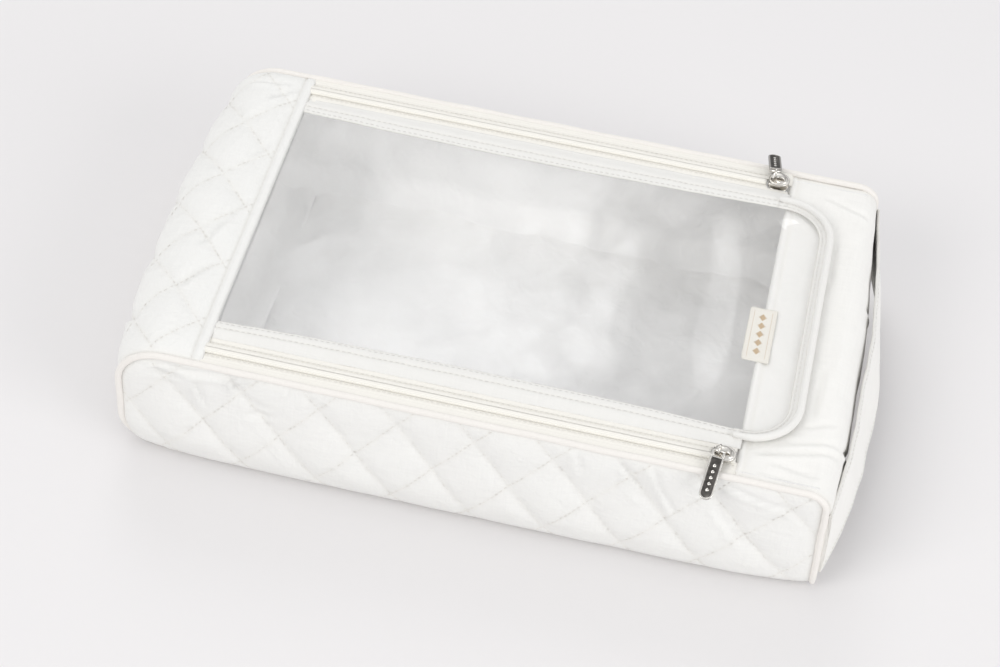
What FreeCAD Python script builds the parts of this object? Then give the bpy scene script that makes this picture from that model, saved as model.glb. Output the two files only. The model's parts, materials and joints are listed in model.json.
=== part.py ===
import FreeCAD, Part
import math
import os

"""Quilted shoe bag with a clear fold-back lid held by two straight zips.

Millimetres. +X runs towards the end with the carrying band, +Y towards the back, +Z up.
The origin is the centre of the base's underside. Each sub-part is written to parts/NODE.step.
"""

V = FreeCAD.Vector

# Cloth body
LENGTH = 356.0
WIDTH = 216.0
PANEL = 3.4            # quilted cloth: face, wadding and backing
LINING = 0.5
PLAIN_TOP = 74.0       # upper face of the strip beside the carrying end
QUILT_TOP = 76.4       # upper face of the strip that the lid folds on
TOP_ROUND_LEFT = 24.0
TOP_ROUND_RIGHT = 10.0
FOOT_ROUND_LEFT = 24.0
FOOT_ROUND_RIGHT = 6.0
FOOT_REACH = 12.0      # how far each end piece turns in under the bag, past its rounding
EASE = 0.2             # clearance between neighbouring sewn pieces
HAIR = 0.1             # smallest gap between two faces, or flat left beside a rounding
SIDE_FOOT_TRIM = 2.0   # how much tighter a side panel's foot is rounded than the end piece's

# Corded piping round each long side panel
CORD_R = 1.7
CORD_X = LENGTH / 2 - 1.6
CORD_Y = WIDTH / 2 - 0.8
CORD_Z = 74.15
CORD_FOOT_LEFT = 27.0
CORD_FOOT_RIGHT = 5.0
CORD_GAP = 0.05        # from the cord to the side panel

# Opening between the two top strips, and the line the lid folds on
HEM_LEFT = -133.0
HEM_RIGHT = 130.0
FOLD_X = -119.0
FOLD_GAP = 0.15

# Zip: two tapes with a coil on each
CHAIN_Y = 96.5         # centre of each zip, either side of the middle
TAPE_Z = 74.4
TAPE_T = 0.6
TAPE_GAP = 0.9         # half the slit between the tapes
COIL_IN = 0.7
COIL_W = 2.4
COIL_H = 1.8
TAPE_OUT = 105.3
TAPE_IN = 84.0

# Lid
FILM_Z = 75.0
FILM_T = 0.4
TONGUE = 26.0          # how far the lid's free end lies over the plain strip
TONGUE_ROUND = 25.0
BORDER_IN = 78.0
BORDER_OUT = 89.5
BORDER_T = 1.0
ROLL_R = 2.15
ROLL_Y = 83.0
ROLL_EDGE = 1.5        # from the roll's middle in to the film's edge
ROLL_Z = 77.1

# Slider, link ring and pull tag
TAIL_X = -5.5          # the slider's tail and nose, along it from its middle
TAIL_Y = 4.2
NOSE_X = 1.0
NOSE_R = 4.6
NOSE_GAP = 0.4         # from the nose to the hem when the zip is closed
PLATE_T = 1.2
COIL_TRIM = 0.8        # the lid's coil stops this far short of the closed slider
TAPE_TRIM = 0.4        # the lid's tape passes this far beside the closed slider
PLATE_EASE = 0.3
FLANGE_T = 0.7
NECK_Y = 0.5
NECK_SET = 0.8         # the neck stands back this far from the nose's ends
BAR_Z = 81.3           # centre of the crown's bar
BAR_R = 0.5
CROWN_LEGS = (-4.9, 2.8)
CROWN_ROUND = 1.2
RING_X = -2.6          # ring's place along the slider
RING_R = 2.2
WIRE_R = 0.5
RING_HANG = 1.05       # ring's centre outward from the bar
TAG_HANG = 2.1         # tag's end bar outward from the crown's bar
TAG_L = 25.0
TAG_W = 6.8
TAG_T = 1.2
TAG_EYE = 2.9
RAIL_T = 1.0
RAIL_W = 1.5
RECESS = 0.3
RECESS_RIM = 0.9
RECESS_END = 1.2       # from the eye to the recess
RECESS_ROUND = 0.6
TAG_DROOP = 24.0       # degrees below level
TAG_YAW = 6.0          # degrees towards the hinge end

# Carrying band on the right-hand end
BAND_LOW = 16.0
BAND_W = 45.0
BAND_T = 2.6
BAND_X = LENGTH / 2 + 1.0
BAND_BOW = 9.5
BAND_Y = 103.2
TAB_OUT = 107.0
TAB_GAP = 0.9          # from the band's bowed part to its sewn end

# Woven label on the hem of the plain strip
LABEL = (122.5, 136.5, -31.5, 5.0)
LABEL_T = 0.5
LABEL_ROUND = 1.5

HALF_L = LENGTH / 2
SIDE_IN = WIDTH / 2 - PANEL           # inner face of a long side panel
WRAP_Y = SIDE_IN - EASE               # half the width of an end piece
BASE_LEFT = -HALF_L + FOOT_ROUND_LEFT + FOOT_REACH
BASE_RIGHT = HALF_L - FOOT_ROUND_RIGHT - FOOT_REACH
COIL_Z = TAPE_Z + TAPE_T
COIL_TOP = COIL_Z + COIL_H
FILM_Y = ROLL_Y - ROLL_EDGE
BORDER_Z = FILM_Z + FILM_T
PLATE_Z = COIL_TOP + PLATE_EASE
PLATE_TOP = PLATE_Z + PLATE_T
SLIDER_X = HEM_RIGHT - NOSE_GAP - NOSE_R - NOSE_X
TRIM_X = SLIDER_X + TAIL_X - COIL_TRIM
TRIM_Y = CHAIN_Y - NOSE_R - TAPE_TRIM
ROLL_X = HEM_RIGHT + TONGUE
SIDES = {"front": -1, "back": 1}


def box(x0, x1, y0, y1, z0, z1):
    """A box between two limits on each axis, given in either order."""
    lo = V(min(x0, x1), min(y0, y1), min(z0, z1))
    return Part.makeBox(abs(x1 - x0), abs(y1 - y0), abs(z1 - z0), lo)


def corner(before, at, after, radius):
    """Start, middle and end of the arc that rounds a corner."""
    back = (before - at).normalize()
    ahead = (after - at).normalize()
    half = back.getAngle(ahead) / 2
    reach = radius / math.tan(half)
    inward = (back + ahead).normalize()
    centre = at + inward * (radius / math.sin(half))
    return at + back * reach, centre - inward * radius, at + ahead * reach


def rounded(points, radii, closed=True):
    """A wire through points, each corner rounded by its radius; 0 keeps it sharp."""
    count = len(points)
    edges = []
    arcs = []
    for i, (at, radius) in enumerate(zip(points, radii)):
        end_point = not closed and i in (0, count - 1)
        if radius and not end_point:
            arcs.append(corner(points[i - 1], at, points[(i + 1) % count], radius))
        else:
            arcs.append((at, None, at))
    for i, (start, middle, end) in enumerate(arcs):
        if middle is not None:
            edges.append(Part.Arc(start, middle, end).toShape())
        if closed or i < count - 1:
            following = arcs[(i + 1) % count][0]
            if end.distanceToPoint(following) > 1e-6:
                edges.append(Part.LineSegment(end, following).toShape())
    return Part.Wire(edges)


def sweep(wire, radius):
    """A round cord of that radius along a wire of lines and tangent arcs."""
    first = wire.Edges[0]
    start = first.valueAt(first.FirstParameter)
    along = first.tangentAt(first.FirstParameter)
    ring = Part.Wire(Part.makeCircle(radius, start, along))
    cord = wire.makePipeShell([ring], True, False)
    if cord.Volume < 0:
        cord.reverse()
    return cord


def side_outline(y, inset, top):
    """Outline of a long side panel in the XZ plane, drawn in from the cord's line."""
    left, right = -CORD_X + inset, CORD_X - inset
    points = [V(left, y, 0), V(left, y, top), V(right, y, top), V(right, y, 0)]
    radii = [FOOT_ROUND_LEFT - inset, TOP_ROUND_LEFT - inset,
             TOP_ROUND_RIGHT - inset, FOOT_ROUND_RIGHT - SIDE_FOOT_TRIM]
    return rounded(points, radii)


def side_panel(side):
    """Quilted long side, its corners rounded as the piping runs."""
    inset = CORD_R + CORD_GAP
    outline = side_outline(side * SIDE_IN, inset, CORD_Z - inset)
    return Part.Face(outline).extrude(V(0, side * PANEL, 0))


def side_lining(side):
    """Lining sheet on the inner face of a long side panel, inside the end pieces."""
    left, right = -HALF_L + PANEL + LINING, HALF_L - PANEL - LINING
    low, high = PANEL + LINING, PLAIN_TOP - PANEL - LINING
    y = side * (SIDE_IN - LINING - HAIR)
    points = [V(left, y, low), V(left, y, high), V(right, y, high), V(right, y, low)]
    inner_left = TOP_ROUND_LEFT - PANEL - LINING
    radii = [FOOT_ROUND_LEFT, inner_left, TOP_ROUND_RIGHT, FOOT_ROUND_RIGHT]
    return Part.Face(rounded(points, radii)).extrude(V(0, side * LINING, 0))


def side_piping(side):
    """Corded piping up one end of a long side, along its top and down the other end."""
    y = side * CORD_Y
    points = [V(-CORD_X, y, CORD_FOOT_LEFT), V(-CORD_X, y, CORD_Z),
              V(CORD_X, y, CORD_Z), V(CORD_X, y, CORD_FOOT_RIGHT)]
    path = rounded(points, [0, TOP_ROUND_LEFT, TOP_ROUND_RIGHT, 0], closed=False)
    return sweep(path, CORD_R)


def end_piece(out, hem, top, top_round, foot_round, foot_end, thick, inset=0.0):
    """A strip that runs in from its hem, over the top corner, down the end and under the foot."""
    inward = 1 if out < 0 else -1
    face = out + inward * inset
    inner = face + inward * thick
    low, high = inset, top - inset
    y = -WRAP_Y
    points = [V(hem, y, high), V(face, y, high), V(face, y, low), V(foot_end, y, low),
              V(foot_end, y, low + thick), V(inner, y, low + thick),
              V(inner, y, high - thick), V(hem, y, high - thick)]
    radii = [0, top_round - inset, foot_round - inset, 0,
             0, foot_round - inset - thick, top_round - inset - thick, 0]
    return Part.Face(rounded(points, radii)).extrude(V(0, 2 * WRAP_Y, 0))


def left_end(thick=PANEL, inset=0.0):
    return end_piece(-HALF_L, HEM_LEFT, QUILT_TOP, TOP_ROUND_LEFT, FOOT_ROUND_LEFT,
                     BASE_LEFT, thick, inset)


def right_end(thick=PANEL, inset=0.0):
    return end_piece(HALF_L, HEM_RIGHT, PLAIN_TOP, TOP_ROUND_RIGHT, FOOT_ROUND_RIGHT,
                     BASE_RIGHT, thick, inset)


def body_tape(side):
    """Zip tape sewn to the body, from the slit out to the piping."""
    return box(HEM_LEFT + EASE, HEM_RIGHT - EASE, side * (CHAIN_Y + TAPE_GAP),
               side * TAPE_OUT, TAPE_Z, TAPE_Z + TAPE_T)


def body_coil(side):
    inner = CHAIN_Y + COIL_IN
    return box(HEM_LEFT + EASE, HEM_RIGHT - EASE, side * inner, side * (inner + COIL_W),
               COIL_Z, COIL_TOP)


def lid_tape(side):
    """Zip tape sewn to the lid, cut back at its end to clear the closed slider."""
    wide = box(FOLD_X + FOLD_GAP, TRIM_X, side * TAPE_IN, side * (CHAIN_Y - TAPE_GAP),
               TAPE_Z, TAPE_Z + TAPE_T)
    narrow = box(TRIM_X, HEM_RIGHT - EASE, side * TAPE_IN, side * TRIM_Y,
                 TAPE_Z, TAPE_Z + TAPE_T)
    return wide.fuse(narrow).removeSplitter()


def lid_coil(side):
    outer = CHAIN_Y - COIL_IN
    return box(FOLD_X + FOLD_GAP, TRIM_X, side * outer, side * (outer - COIL_W),
               COIL_Z, COIL_TOP)


def fold_tape(side):
    """The lid's tape on the fixed side of the fold line."""
    return box(HEM_LEFT + EASE, FOLD_X, side * TAPE_IN, side * (CHAIN_Y - TAPE_GAP),
               TAPE_Z, TAPE_Z + TAPE_T)


def fold_coil(side):
    outer = CHAIN_Y - COIL_IN
    return box(HEM_LEFT + EASE, FOLD_X, side * outer, side * (outer - COIL_W),
               COIL_Z, COIL_TOP)


def border(side, start, end):
    """Folded cloth strip stitched over the film's edge and the zip tape."""
    return box(start, end, side * BORDER_IN, side * BORDER_OUT, BORDER_Z, BORDER_Z + BORDER_T)


def window_film():
    """Clear sheet of the lid, with the rounded tongue at its free end."""
    left, right = FOLD_X + FOLD_GAP, ROLL_X - ROLL_EDGE
    points = [V(left, -FILM_Y, FILM_Z), V(right, -FILM_Y, FILM_Z),
              V(right, FILM_Y, FILM_Z), V(left, FILM_Y, FILM_Z)]
    radius = TONGUE_ROUND - ROLL_EDGE
    return Part.Face(rounded(points, [0, radius, radius, 0])).extrude(V(0, 0, FILM_T))


def fold_film():
    """The film's strip between the hem and the fold line."""
    return box(HEM_LEFT + EASE, FOLD_X, -FILM_Y, FILM_Y, FILM_Z, FILM_Z + FILM_T)


def lid_end_piping():
    """Padded roll round the lid's free end, from one border strip to the other."""
    points = [V(HEM_RIGHT, -ROLL_Y, ROLL_Z), V(ROLL_X, -ROLL_Y, ROLL_Z),
              V(ROLL_X, ROLL_Y, ROLL_Z), V(HEM_RIGHT, ROLL_Y, ROLL_Z)]
    path = rounded(points, [0, TONGUE_ROUND, TONGUE_ROUND, 0], closed=False)
    return sweep(path, ROLL_R)


def slider_plate(z, thick):
    """Upper or lower wing of a slider: a square tail and a round nose."""
    tail = box(TAIL_X, NOSE_X, -TAIL_Y, TAIL_Y, z, z + thick)
    nose = Part.makeCylinder(NOSE_R, thick, V(NOSE_X, 0, z))
    return tail.fuse(nose)


def slider_body(side):
    """Two wings joined by a neck that runs in the slit, with flanges outside the coils."""
    upper = slider_plate(PLATE_Z, PLATE_T)
    lower = slider_plate(TAPE_Z - PLATE_EASE - PLATE_T, PLATE_T)
    neck = box(NOSE_X + NECK_SET, NOSE_X + NOSE_R - NECK_SET, -NECK_Y, NECK_Y,
               TAPE_Z - PLATE_EASE, PLATE_Z)
    body = upper.fuse([lower, neck])
    for edge in (-1, 1):
        body = body.fuse(box(TAIL_X, NOSE_X, edge * (TAIL_Y - FLANGE_T), edge * TAIL_Y,
                             TAPE_Z + TAPE_T + PLATE_EASE, PLATE_Z))
    body = body.removeSplitter()
    body.translate(V(SLIDER_X, side * CHAIN_Y, 0))
    return body


def slider_crown(side):
    """Wire arch on the slider that carries the link ring."""
    y = side * CHAIN_Y
    ends = [SLIDER_X + leg for leg in CROWN_LEGS]
    points = [V(ends[0], y, PLATE_TOP), V(ends[0], y, BAR_Z),
              V(ends[1], y, BAR_Z), V(ends[1], y, PLATE_TOP)]
    return sweep(rounded(points, [0, CROWN_ROUND, CROWN_ROUND, 0], closed=False), BAR_R)


def bar_point(side):
    """Where the link ring hangs on the crown's bar."""
    return V(SLIDER_X + RING_X, side * CHAIN_Y, BAR_Z)


def hang(shape, side):
    """Turns a shape drawn pointing along -Y at the bar to the side and yaw it hangs at."""
    if side > 0:
        shape = shape.mirror(V(0, 0, 0), V(0, 1, 0))
    shape.rotate(V(0, 0, 0), V(0, 0, 1), side * TAG_YAW)
    shape.translate(bar_point(side))
    return shape


def link_ring(side):
    ring = Part.makeTorus(RING_R, WIRE_R, V(0, -RING_HANG, 0), V(1, 0, 0))
    return hang(ring, side)


def pull_tag(side):
    """Flat tag with an open eye at one end and a shallow recess in each face."""
    half = TAG_W / 2
    ends = [V(-half, -TAG_EYE, -TAG_T / 2), V(half, -TAG_EYE, -TAG_T / 2),
            V(half, -TAG_L, -TAG_T / 2), V(-half, -TAG_L, -TAG_T / 2)]
    tip = half - HAIR
    plate = Part.Face(rounded(ends, [0, 0, tip, tip])).extrude(V(0, 0, TAG_T))
    rim, top = RECESS_RIM, -TAG_EYE - RECESS_END
    well = [V(-half + rim, top, 0), V(half - rim, top, 0),
            V(half - rim, -TAG_L + rim, 0), V(-half + rim, -TAG_L + rim, 0)]
    radii = [RECESS_ROUND, RECESS_ROUND, tip - rim, tip - rim]
    pocket = Part.Face(rounded(well, radii)).extrude(V(0, 0, RECESS))
    for z in (TAG_T / 2 - RECESS, -TAG_T / 2):
        cutter = pocket.copy()
        cutter.translate(V(0, 0, z))
        plate = plate.cut(cutter)
    bar = Part.makeCylinder(BAR_R, TAG_W, V(-half, 0, 0), V(1, 0, 0))
    rails = [box(edge * (half - RAIL_W), edge * half, 0, -TAG_EYE, -RAIL_T / 2, RAIL_T / 2)
             for edge in (-1, 1)]
    tag = plate.fuse([bar, *rails]).removeSplitter()
    tag.rotate(V(0, 0, 0), V(1, 0, 0), TAG_DROOP)
    tag.translate(V(0, -TAG_HANG, 0))
    return hang(tag, side)


def carry_band():
    """Wide cloth band across the end, bowed out so that fingers fit behind it."""
    high = BAND_LOW
    radius = (BAND_Y ** 2 + BAND_BOW ** 2) / (2 * BAND_BOW)
    centre_x = BAND_X + BAND_BOW - radius
    reach = math.asin(BAND_Y / radius)

    def arc(r, start, end):
        spots = [V(centre_x + r * math.cos(a), r * math.sin(a), high)
                 for a in (start, (start + end) / 2, end)]
        return Part.Arc(*spots).toShape(), spots[0], spots[2]

    inner, a, b = arc(radius, -reach, reach)
    outer, c, d = arc(radius + BAND_T, reach, -reach)
    joins = [Part.LineSegment(b, c).toShape(), Part.LineSegment(d, a).toShape()]
    return Part.Face(Part.Wire([inner, joins[0], outer, joins[1]])).extrude(V(0, 0, BAND_W))


def band_tab(side):
    """End of the band, sewn into the upright seam beside the piping."""
    return box(HALF_L + EASE, BAND_X + BAND_T, side * (BAND_Y + TAB_GAP), side * TAB_OUT,
               BAND_LOW, BAND_LOW + BAND_W)


def woven_label():
    x0, x1, y0, y1 = LABEL
    points = [V(x0, y0, PLAIN_TOP), V(x1, y0, PLAIN_TOP), V(x1, y1, PLAIN_TOP), V(x0, y1, PLAIN_TOP)]
    return Part.Face(rounded(points, [LABEL_ROUND, 0, 0, LABEL_ROUND])).extrude(V(0, 0, LABEL_T))


def body_nodes():
    base = box(BASE_LEFT, BASE_RIGHT, -WRAP_Y, WRAP_Y, 0, PANEL)
    sheet = box(BASE_LEFT, BASE_RIGHT, -WRAP_Y, WRAP_Y, PANEL, PANEL + LINING)
    return {
        "base_panel": base,
        "base_lining": sheet,
        "left_end_piece": left_end(),
        "left_end_lining": left_end(LINING, PANEL),
        "right_end_piece": right_end(),
        "right_end_lining": right_end(LINING, PANEL),
        "window_film": window_film(),
        "fold_film": fold_film(),
        "lid_end_piping": lid_end_piping(),
        "carry_band": carry_band(),
        "woven_label": woven_label(),
    }


def side_nodes(name, side):
    return {
        f"{name}_side_panel": side_panel(side),
        f"{name}_side_lining": side_lining(side),
        f"{name}_piping": side_piping(side),
        f"{name}_body_tape": body_tape(side),
        f"{name}_body_coil": body_coil(side),
        f"{name}_lid_tape": lid_tape(side),
        f"{name}_lid_coil": lid_coil(side),
        f"{name}_lid_border": border(side, FOLD_X + FOLD_GAP, HEM_RIGHT - EASE),
        f"{name}_fold_tape": fold_tape(side),
        f"{name}_fold_coil": fold_coil(side),
        f"{name}_fold_border": border(side, HEM_LEFT + EASE, FOLD_X),
        f"{name}_slider_body": slider_body(side),
        f"{name}_slider_crown": slider_crown(side),
        f"{name}_link_ring": link_ring(side),
        f"{name}_pull_tag": pull_tag(side),
        f"{name}_band_tab": band_tab(side),
    }


def main():
    os.makedirs("parts", exist_ok=True)
    nodes = body_nodes()
    for name, side in SIDES.items():
        nodes.update(side_nodes(name, side))
    for name, shape in nodes.items():
        valid = shape.isValid() and len(shape.Solids) >= 1
        print(f"{name:22s} valid {valid} solids {len(shape.Solids)} volume {shape.Volume:.1f}")
        shape.exportStep(f"parts/{name}.step")


main()
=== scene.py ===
import json
import math

import bmesh
import bpy
from bpy.props import FloatProperty, FloatVectorProperty, PointerProperty
from mathutils import Matrix, Vector, noise


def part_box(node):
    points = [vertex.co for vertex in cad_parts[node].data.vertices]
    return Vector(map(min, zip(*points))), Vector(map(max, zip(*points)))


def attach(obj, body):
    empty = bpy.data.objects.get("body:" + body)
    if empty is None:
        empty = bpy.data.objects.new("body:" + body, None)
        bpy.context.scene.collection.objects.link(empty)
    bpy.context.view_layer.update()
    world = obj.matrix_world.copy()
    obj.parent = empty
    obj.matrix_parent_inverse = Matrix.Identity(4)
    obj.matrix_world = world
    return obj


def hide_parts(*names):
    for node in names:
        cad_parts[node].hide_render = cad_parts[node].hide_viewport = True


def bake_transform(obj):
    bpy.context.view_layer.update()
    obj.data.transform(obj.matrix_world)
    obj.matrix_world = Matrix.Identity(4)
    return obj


bl_info = {
    "name": "Quilted Shoe Bag",
    "version": (1, 0, 0),
    "blender": (4, 5, 0),
    "location": "View3D > Sidebar > Shoe Bag",
    "description": "Cloth, clear lid, zips and trims of a quilted shoe bag",
    "category": "Object",
}

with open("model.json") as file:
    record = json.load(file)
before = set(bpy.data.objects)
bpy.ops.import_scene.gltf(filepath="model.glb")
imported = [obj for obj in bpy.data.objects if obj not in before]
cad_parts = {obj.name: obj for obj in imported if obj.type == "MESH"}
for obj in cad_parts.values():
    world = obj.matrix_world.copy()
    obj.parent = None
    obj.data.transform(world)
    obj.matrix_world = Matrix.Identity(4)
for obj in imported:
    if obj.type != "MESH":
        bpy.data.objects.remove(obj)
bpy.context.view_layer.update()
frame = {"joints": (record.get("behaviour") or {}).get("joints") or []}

SIDES = {"front": -1, "back": 1}
UP, ACROSS = Vector((0, 0, 1)), Vector((0, 1, 0))
BATCH = 40                          # copies gathered at a time

# Places read from the frame, in metres
LEFT_LOW, LEFT_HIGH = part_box("left_end_piece")
RIGHT_LOW, RIGHT_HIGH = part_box("right_end_piece")
CORD_LOW, CORD_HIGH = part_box("back_piping")
FILM_LOW, FILM_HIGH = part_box("window_film")
ROLL_LOW, ROLL_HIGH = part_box("lid_end_piping")
BORDER_LOW, BORDER_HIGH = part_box("back_lid_border")
TAPE_LOW, TAPE_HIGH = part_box("back_body_tape")
LID_TAPE_LOW, LID_TAPE_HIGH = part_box("back_lid_tape")
COIL_LOW, COIL_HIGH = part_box("back_body_coil")
LID_COIL_LOW, LID_COIL_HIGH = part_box("back_lid_coil")
BAND_LOW, BAND_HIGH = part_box("carry_band")
TAB_LOW, TAB_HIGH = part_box("back_band_tab")
LABEL_LOW, LABEL_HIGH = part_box("woven_label")

LEFT, RIGHT = LEFT_LOW.x, RIGHT_HIGH.x
QUILT_TOP, PLAIN_TOP = LEFT_HIGH.z, RIGHT_HIGH.z
HEM_LEFT, HEM_RIGHT = LEFT_HIGH.x, RIGHT_LOW.x
CORD_R = (CORD_HIGH.y - CORD_LOW.y) / 2
CORD_Y = CORD_HIGH.y - CORD_R
CORD_X = CORD_HIGH.x - CORD_R
CORD_Z = CORD_HIGH.z - CORD_R
CHAIN_Y = (COIL_LOW.y + LID_COIL_HIGH.y) / 2

# Roundings of the cloth body
TOP_ROUND_LEFT = 0.024
TOP_ROUND_RIGHT = 0.010
FOOT_ROUND_LEFT = 0.024
FOOT_ROUND_RIGHT = 0.006
FOOT_REACH = 0.012
SEAM_Y = CORD_Y - 0.0012       # end pieces run in under the cord as far as this
SIDE_INSET = 0.0007            # side panels run in under the cord as far as this
SIDE_TUCK = 0.0010             # a side panel's edge lies this far inside the cord's middle line
SIDE_CURL = 0.010              # rounding where a side panel turns under the bag
CURL_SHARE = 0.92              # how much of that rounding the cloth goes in under the bag
CLOTH_THICK, LINING_THICK = 0.0022, 0.0005
LINING_INSET = 0.0036          # from the ends' outer face to the lining
WIDE_HEM, NARROW_HEM = 0.0058, 0.0045     # hems of the quilted and of the plain end
HEM_RUN = 0.103                # a hem's stitches reach this far from the bag's middle
LINE_SHADE = 0.0009            # how far the painted shade beside a quilting line reaches

# Long creases pressed into the cloth: start, end, depth
FRONT_CREASES = (
    ((-0.166, 0.072), (-0.138, 0.067), 0.0011),
    ((-0.158, 0.064), (-0.141, 0.064), 0.0008),
    ((-0.141, 0.068), (-0.119, 0.070), 0.0010),
    ((-0.136, 0.063), (-0.131, 0.048), 0.0008),
    ((-0.119, 0.071), (-0.115, 0.060), 0.0009),
    ((-0.113, 0.072), (-0.109, 0.066), 0.0007),
    ((-0.117, 0.057), (-0.099, 0.056), 0.0006),
    ((-0.110, 0.047), (-0.095, 0.050), 0.0006),
    ((-0.089, 0.071), (-0.088, 0.064), 0.0005),
    ((0.076, 0.068), (0.086, 0.055), 0.0008),
    ((0.081, 0.054), (0.091, 0.047), 0.0006),
    ((0.092, 0.071), (0.097, 0.059), 0.0009),
    ((0.097, 0.059), (0.106, 0.043), 0.0008),
    ((0.110, 0.069), (0.118, 0.064), 0.0009),
    ((0.128, 0.068), (0.158, 0.060), 0.0010),
    ((0.125, 0.050), (0.141, 0.030), 0.0006),
    ((0.139, 0.059), (0.153, 0.058), 0.0005),
    ((0.055, 0.069), (0.058, 0.058), 0.0006),
)
BACK_CREASES = (
    ((-0.160, 0.070), (-0.135, 0.064), 0.0010),
    ((-0.120, 0.071), (-0.112, 0.058), 0.0008),
    ((0.100, 0.071), (0.112, 0.060), 0.0008),
    ((0.132, 0.069), (0.158, 0.062), 0.0009),
    ((0.040, 0.070), (0.047, 0.062), 0.0006),
)
# On the end pieces the first number runs from the hem round the profile, the second across
PLAIN_CREASES = (
    ((0.010, -0.088), (0.046, -0.079), 0.0009),
    ((0.024, -0.078), (0.050, -0.071), 0.0008),
    ((0.018, -0.092), (0.040, -0.096), 0.0007),
    ((0.030, -0.066), (0.044, -0.060), 0.0005),
    ((0.033, -0.060), (0.034, -0.028), 0.0005),
    ((0.029, 0.062), (0.030, 0.034), 0.0005),
    ((0.010, -0.099), (0.028, -0.101), 0.0005),
    ((0.022, 0.094), (0.044, 0.086), 0.0007),
    ((0.052, -0.070), (0.080, -0.052), 0.0007),
    ((0.054, 0.030), (0.086, 0.046), 0.0006),
)
LEFT_CREASES = (
    ((0.004, 0.097), (0.020, 0.082), 0.0010),
    ((0.012, 0.096), (0.034, 0.094), 0.0009),
    ((0.016, -0.013), (0.024, -0.032), 0.0008),
    ((0.014, -0.043), (0.025, -0.062), 0.0007),
    ((0.008, 0.008), (0.016, -0.010), 0.0006),
    ((0.008, 0.051), (0.017, 0.038), 0.0006),
    ((0.044, -0.080), (0.070, -0.066), 0.0008),
    ((0.044, 0.010), (0.072, 0.022), 0.0007),
)
CREASE_WIDTH = 0.0017


# ---------------------------------------------------------------- settings

def colour_property(name, description, default):
    return FloatVectorProperty(name=name, description=description, subtype="COLOR", size=3,
                               default=default, min=0, max=1)


class BagClothSettings(bpy.types.PropertyGroup):
    """Quilting, softness and colours of the cloth."""

    diamond_long: FloatProperty(
        name="Diamond length", description="Quilting repeat along the panel",
        default=0.039, unit="LENGTH")
    diamond_high: FloatProperty(
        name="Diamond height", description="Quilting repeat across the panel",
        default=0.048, unit="LENGTH")
    puff: FloatProperty(
        name="Puff", description="How far the wadding lifts the middle of a diamond",
        default=0.0023, unit="LENGTH")
    side_bulge: FloatProperty(
        name="Side bulge", description="How far the long sides swell near the foot",
        default=0.0055, unit="LENGTH")
    end_bulge: FloatProperty(
        name="End bulge", description="How far the ends swell in the middle",
        default=0.0050, unit="LENGTH")
    stitch: FloatProperty(
        name="Stitch pitch", description="Distance from one stitch to the next",
        default=0.0030, unit="LENGTH")
    cloth: colour_property(
        "Cloth", "Colour of the quilted cloth", (0.855, 0.851, 0.828))
    plain: colour_property(
        "Plain cloth", "Colour of the plain cloth and the lid's borders", (0.878, 0.868, 0.838))
    cord: colour_property(
        "Piping", "Colour of the corded piping", (0.865, 0.835, 0.795))
    lining: colour_property(
        "Lining", "Colour of the lining", (0.95, 0.945, 0.935))
    thread: colour_property(
        "Thread", "Colour of the sewing thread", (0.83, 0.81, 0.77))
    motif: colour_property(
        "Label pattern", "Colour of the label's woven pattern", (0.62, 0.46, 0.28))


class BagZipSettings(bpy.types.PropertyGroup):
    """Zip chain and metal."""

    tooth_pitch: FloatProperty(
        name="Tooth pitch", description="Distance between neighbouring turns of a coil",
        default=0.00135, unit="LENGTH")
    tape: colour_property(
        "Tape", "Colour of the zip tape", (0.925, 0.90, 0.84))
    coil: colour_property(
        "Coil", "Colour of the nylon coil", (0.90, 0.875, 0.79))
    nickel: colour_property(
        "Nickel", "Colour of the bright plating", (0.88, 0.85, 0.80))
    recess: colour_property(
        "Recess", "Colour of the pull tag's dark face", (0.15, 0.14, 0.13))


class BagLidSettings(bpy.types.PropertyGroup):
    """Clear film and the roll round its end."""

    wave: FloatProperty(
        name="Film wave", description="Height of the slow waves in the film",
        default=0.0007, unit="LENGTH")
    sag: FloatProperty(
        name="Film sag", description="How far the film sinks in the middle",
        default=0.0022, unit="LENGTH")
    film: colour_property(
        "Film", "Tint of the clear film", (0.995, 0.995, 0.995))


class BagStageSettings(bpy.types.PropertyGroup):
    """Camera, floor and light."""

    lens: FloatProperty(
        name="Lens", description="Focal length in millimetres", default=84.1)
    azimuth: FloatProperty(
        name="Azimuth", description="Turn of the camera from straight in front",
        default=math.radians(8.25), subtype="ANGLE")
    elevation: FloatProperty(
        name="Elevation", description="Height of the camera above level",
        default=math.radians(48.3), subtype="ANGLE")
    roll: FloatProperty(
        name="Roll", description="Turn of the camera about its own axis",
        default=math.radians(5.57), subtype="ANGLE")
    distance: FloatProperty(
        name="Distance", description="Camera to the point it looks at",
        default=1.2157, unit="LENGTH")
    floor: colour_property(
        "Floor", "Colour of the floor", (0.80, 0.785, 0.785))


# ---------------------------------------------------------------- small maths

def clamp(value, low=0.0, high=1.0):
    return max(low, min(high, value))


def smooth(value):
    t = clamp(value)
    return t * t * (3 - 2 * t)


def rise(distance, reach):
    """0 at a seam, nearing 1 further into the cloth."""
    return 1 - math.exp(-max(distance, 0.0) / reach)


def steps(low, high, pitch):
    """Evenly spaced values from low to high, about pitch apart."""
    count = max(1, round(abs(high - low) / pitch))
    return [low + (high - low) * n / count for n in range(count + 1)]


def ripple(a, b, size, seed=0.0):
    """Smooth noise over a sheet, about -1 to 1, whose lumps are as large as size."""
    return noise.noise(Vector((a / size, b / size, seed)))


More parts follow.
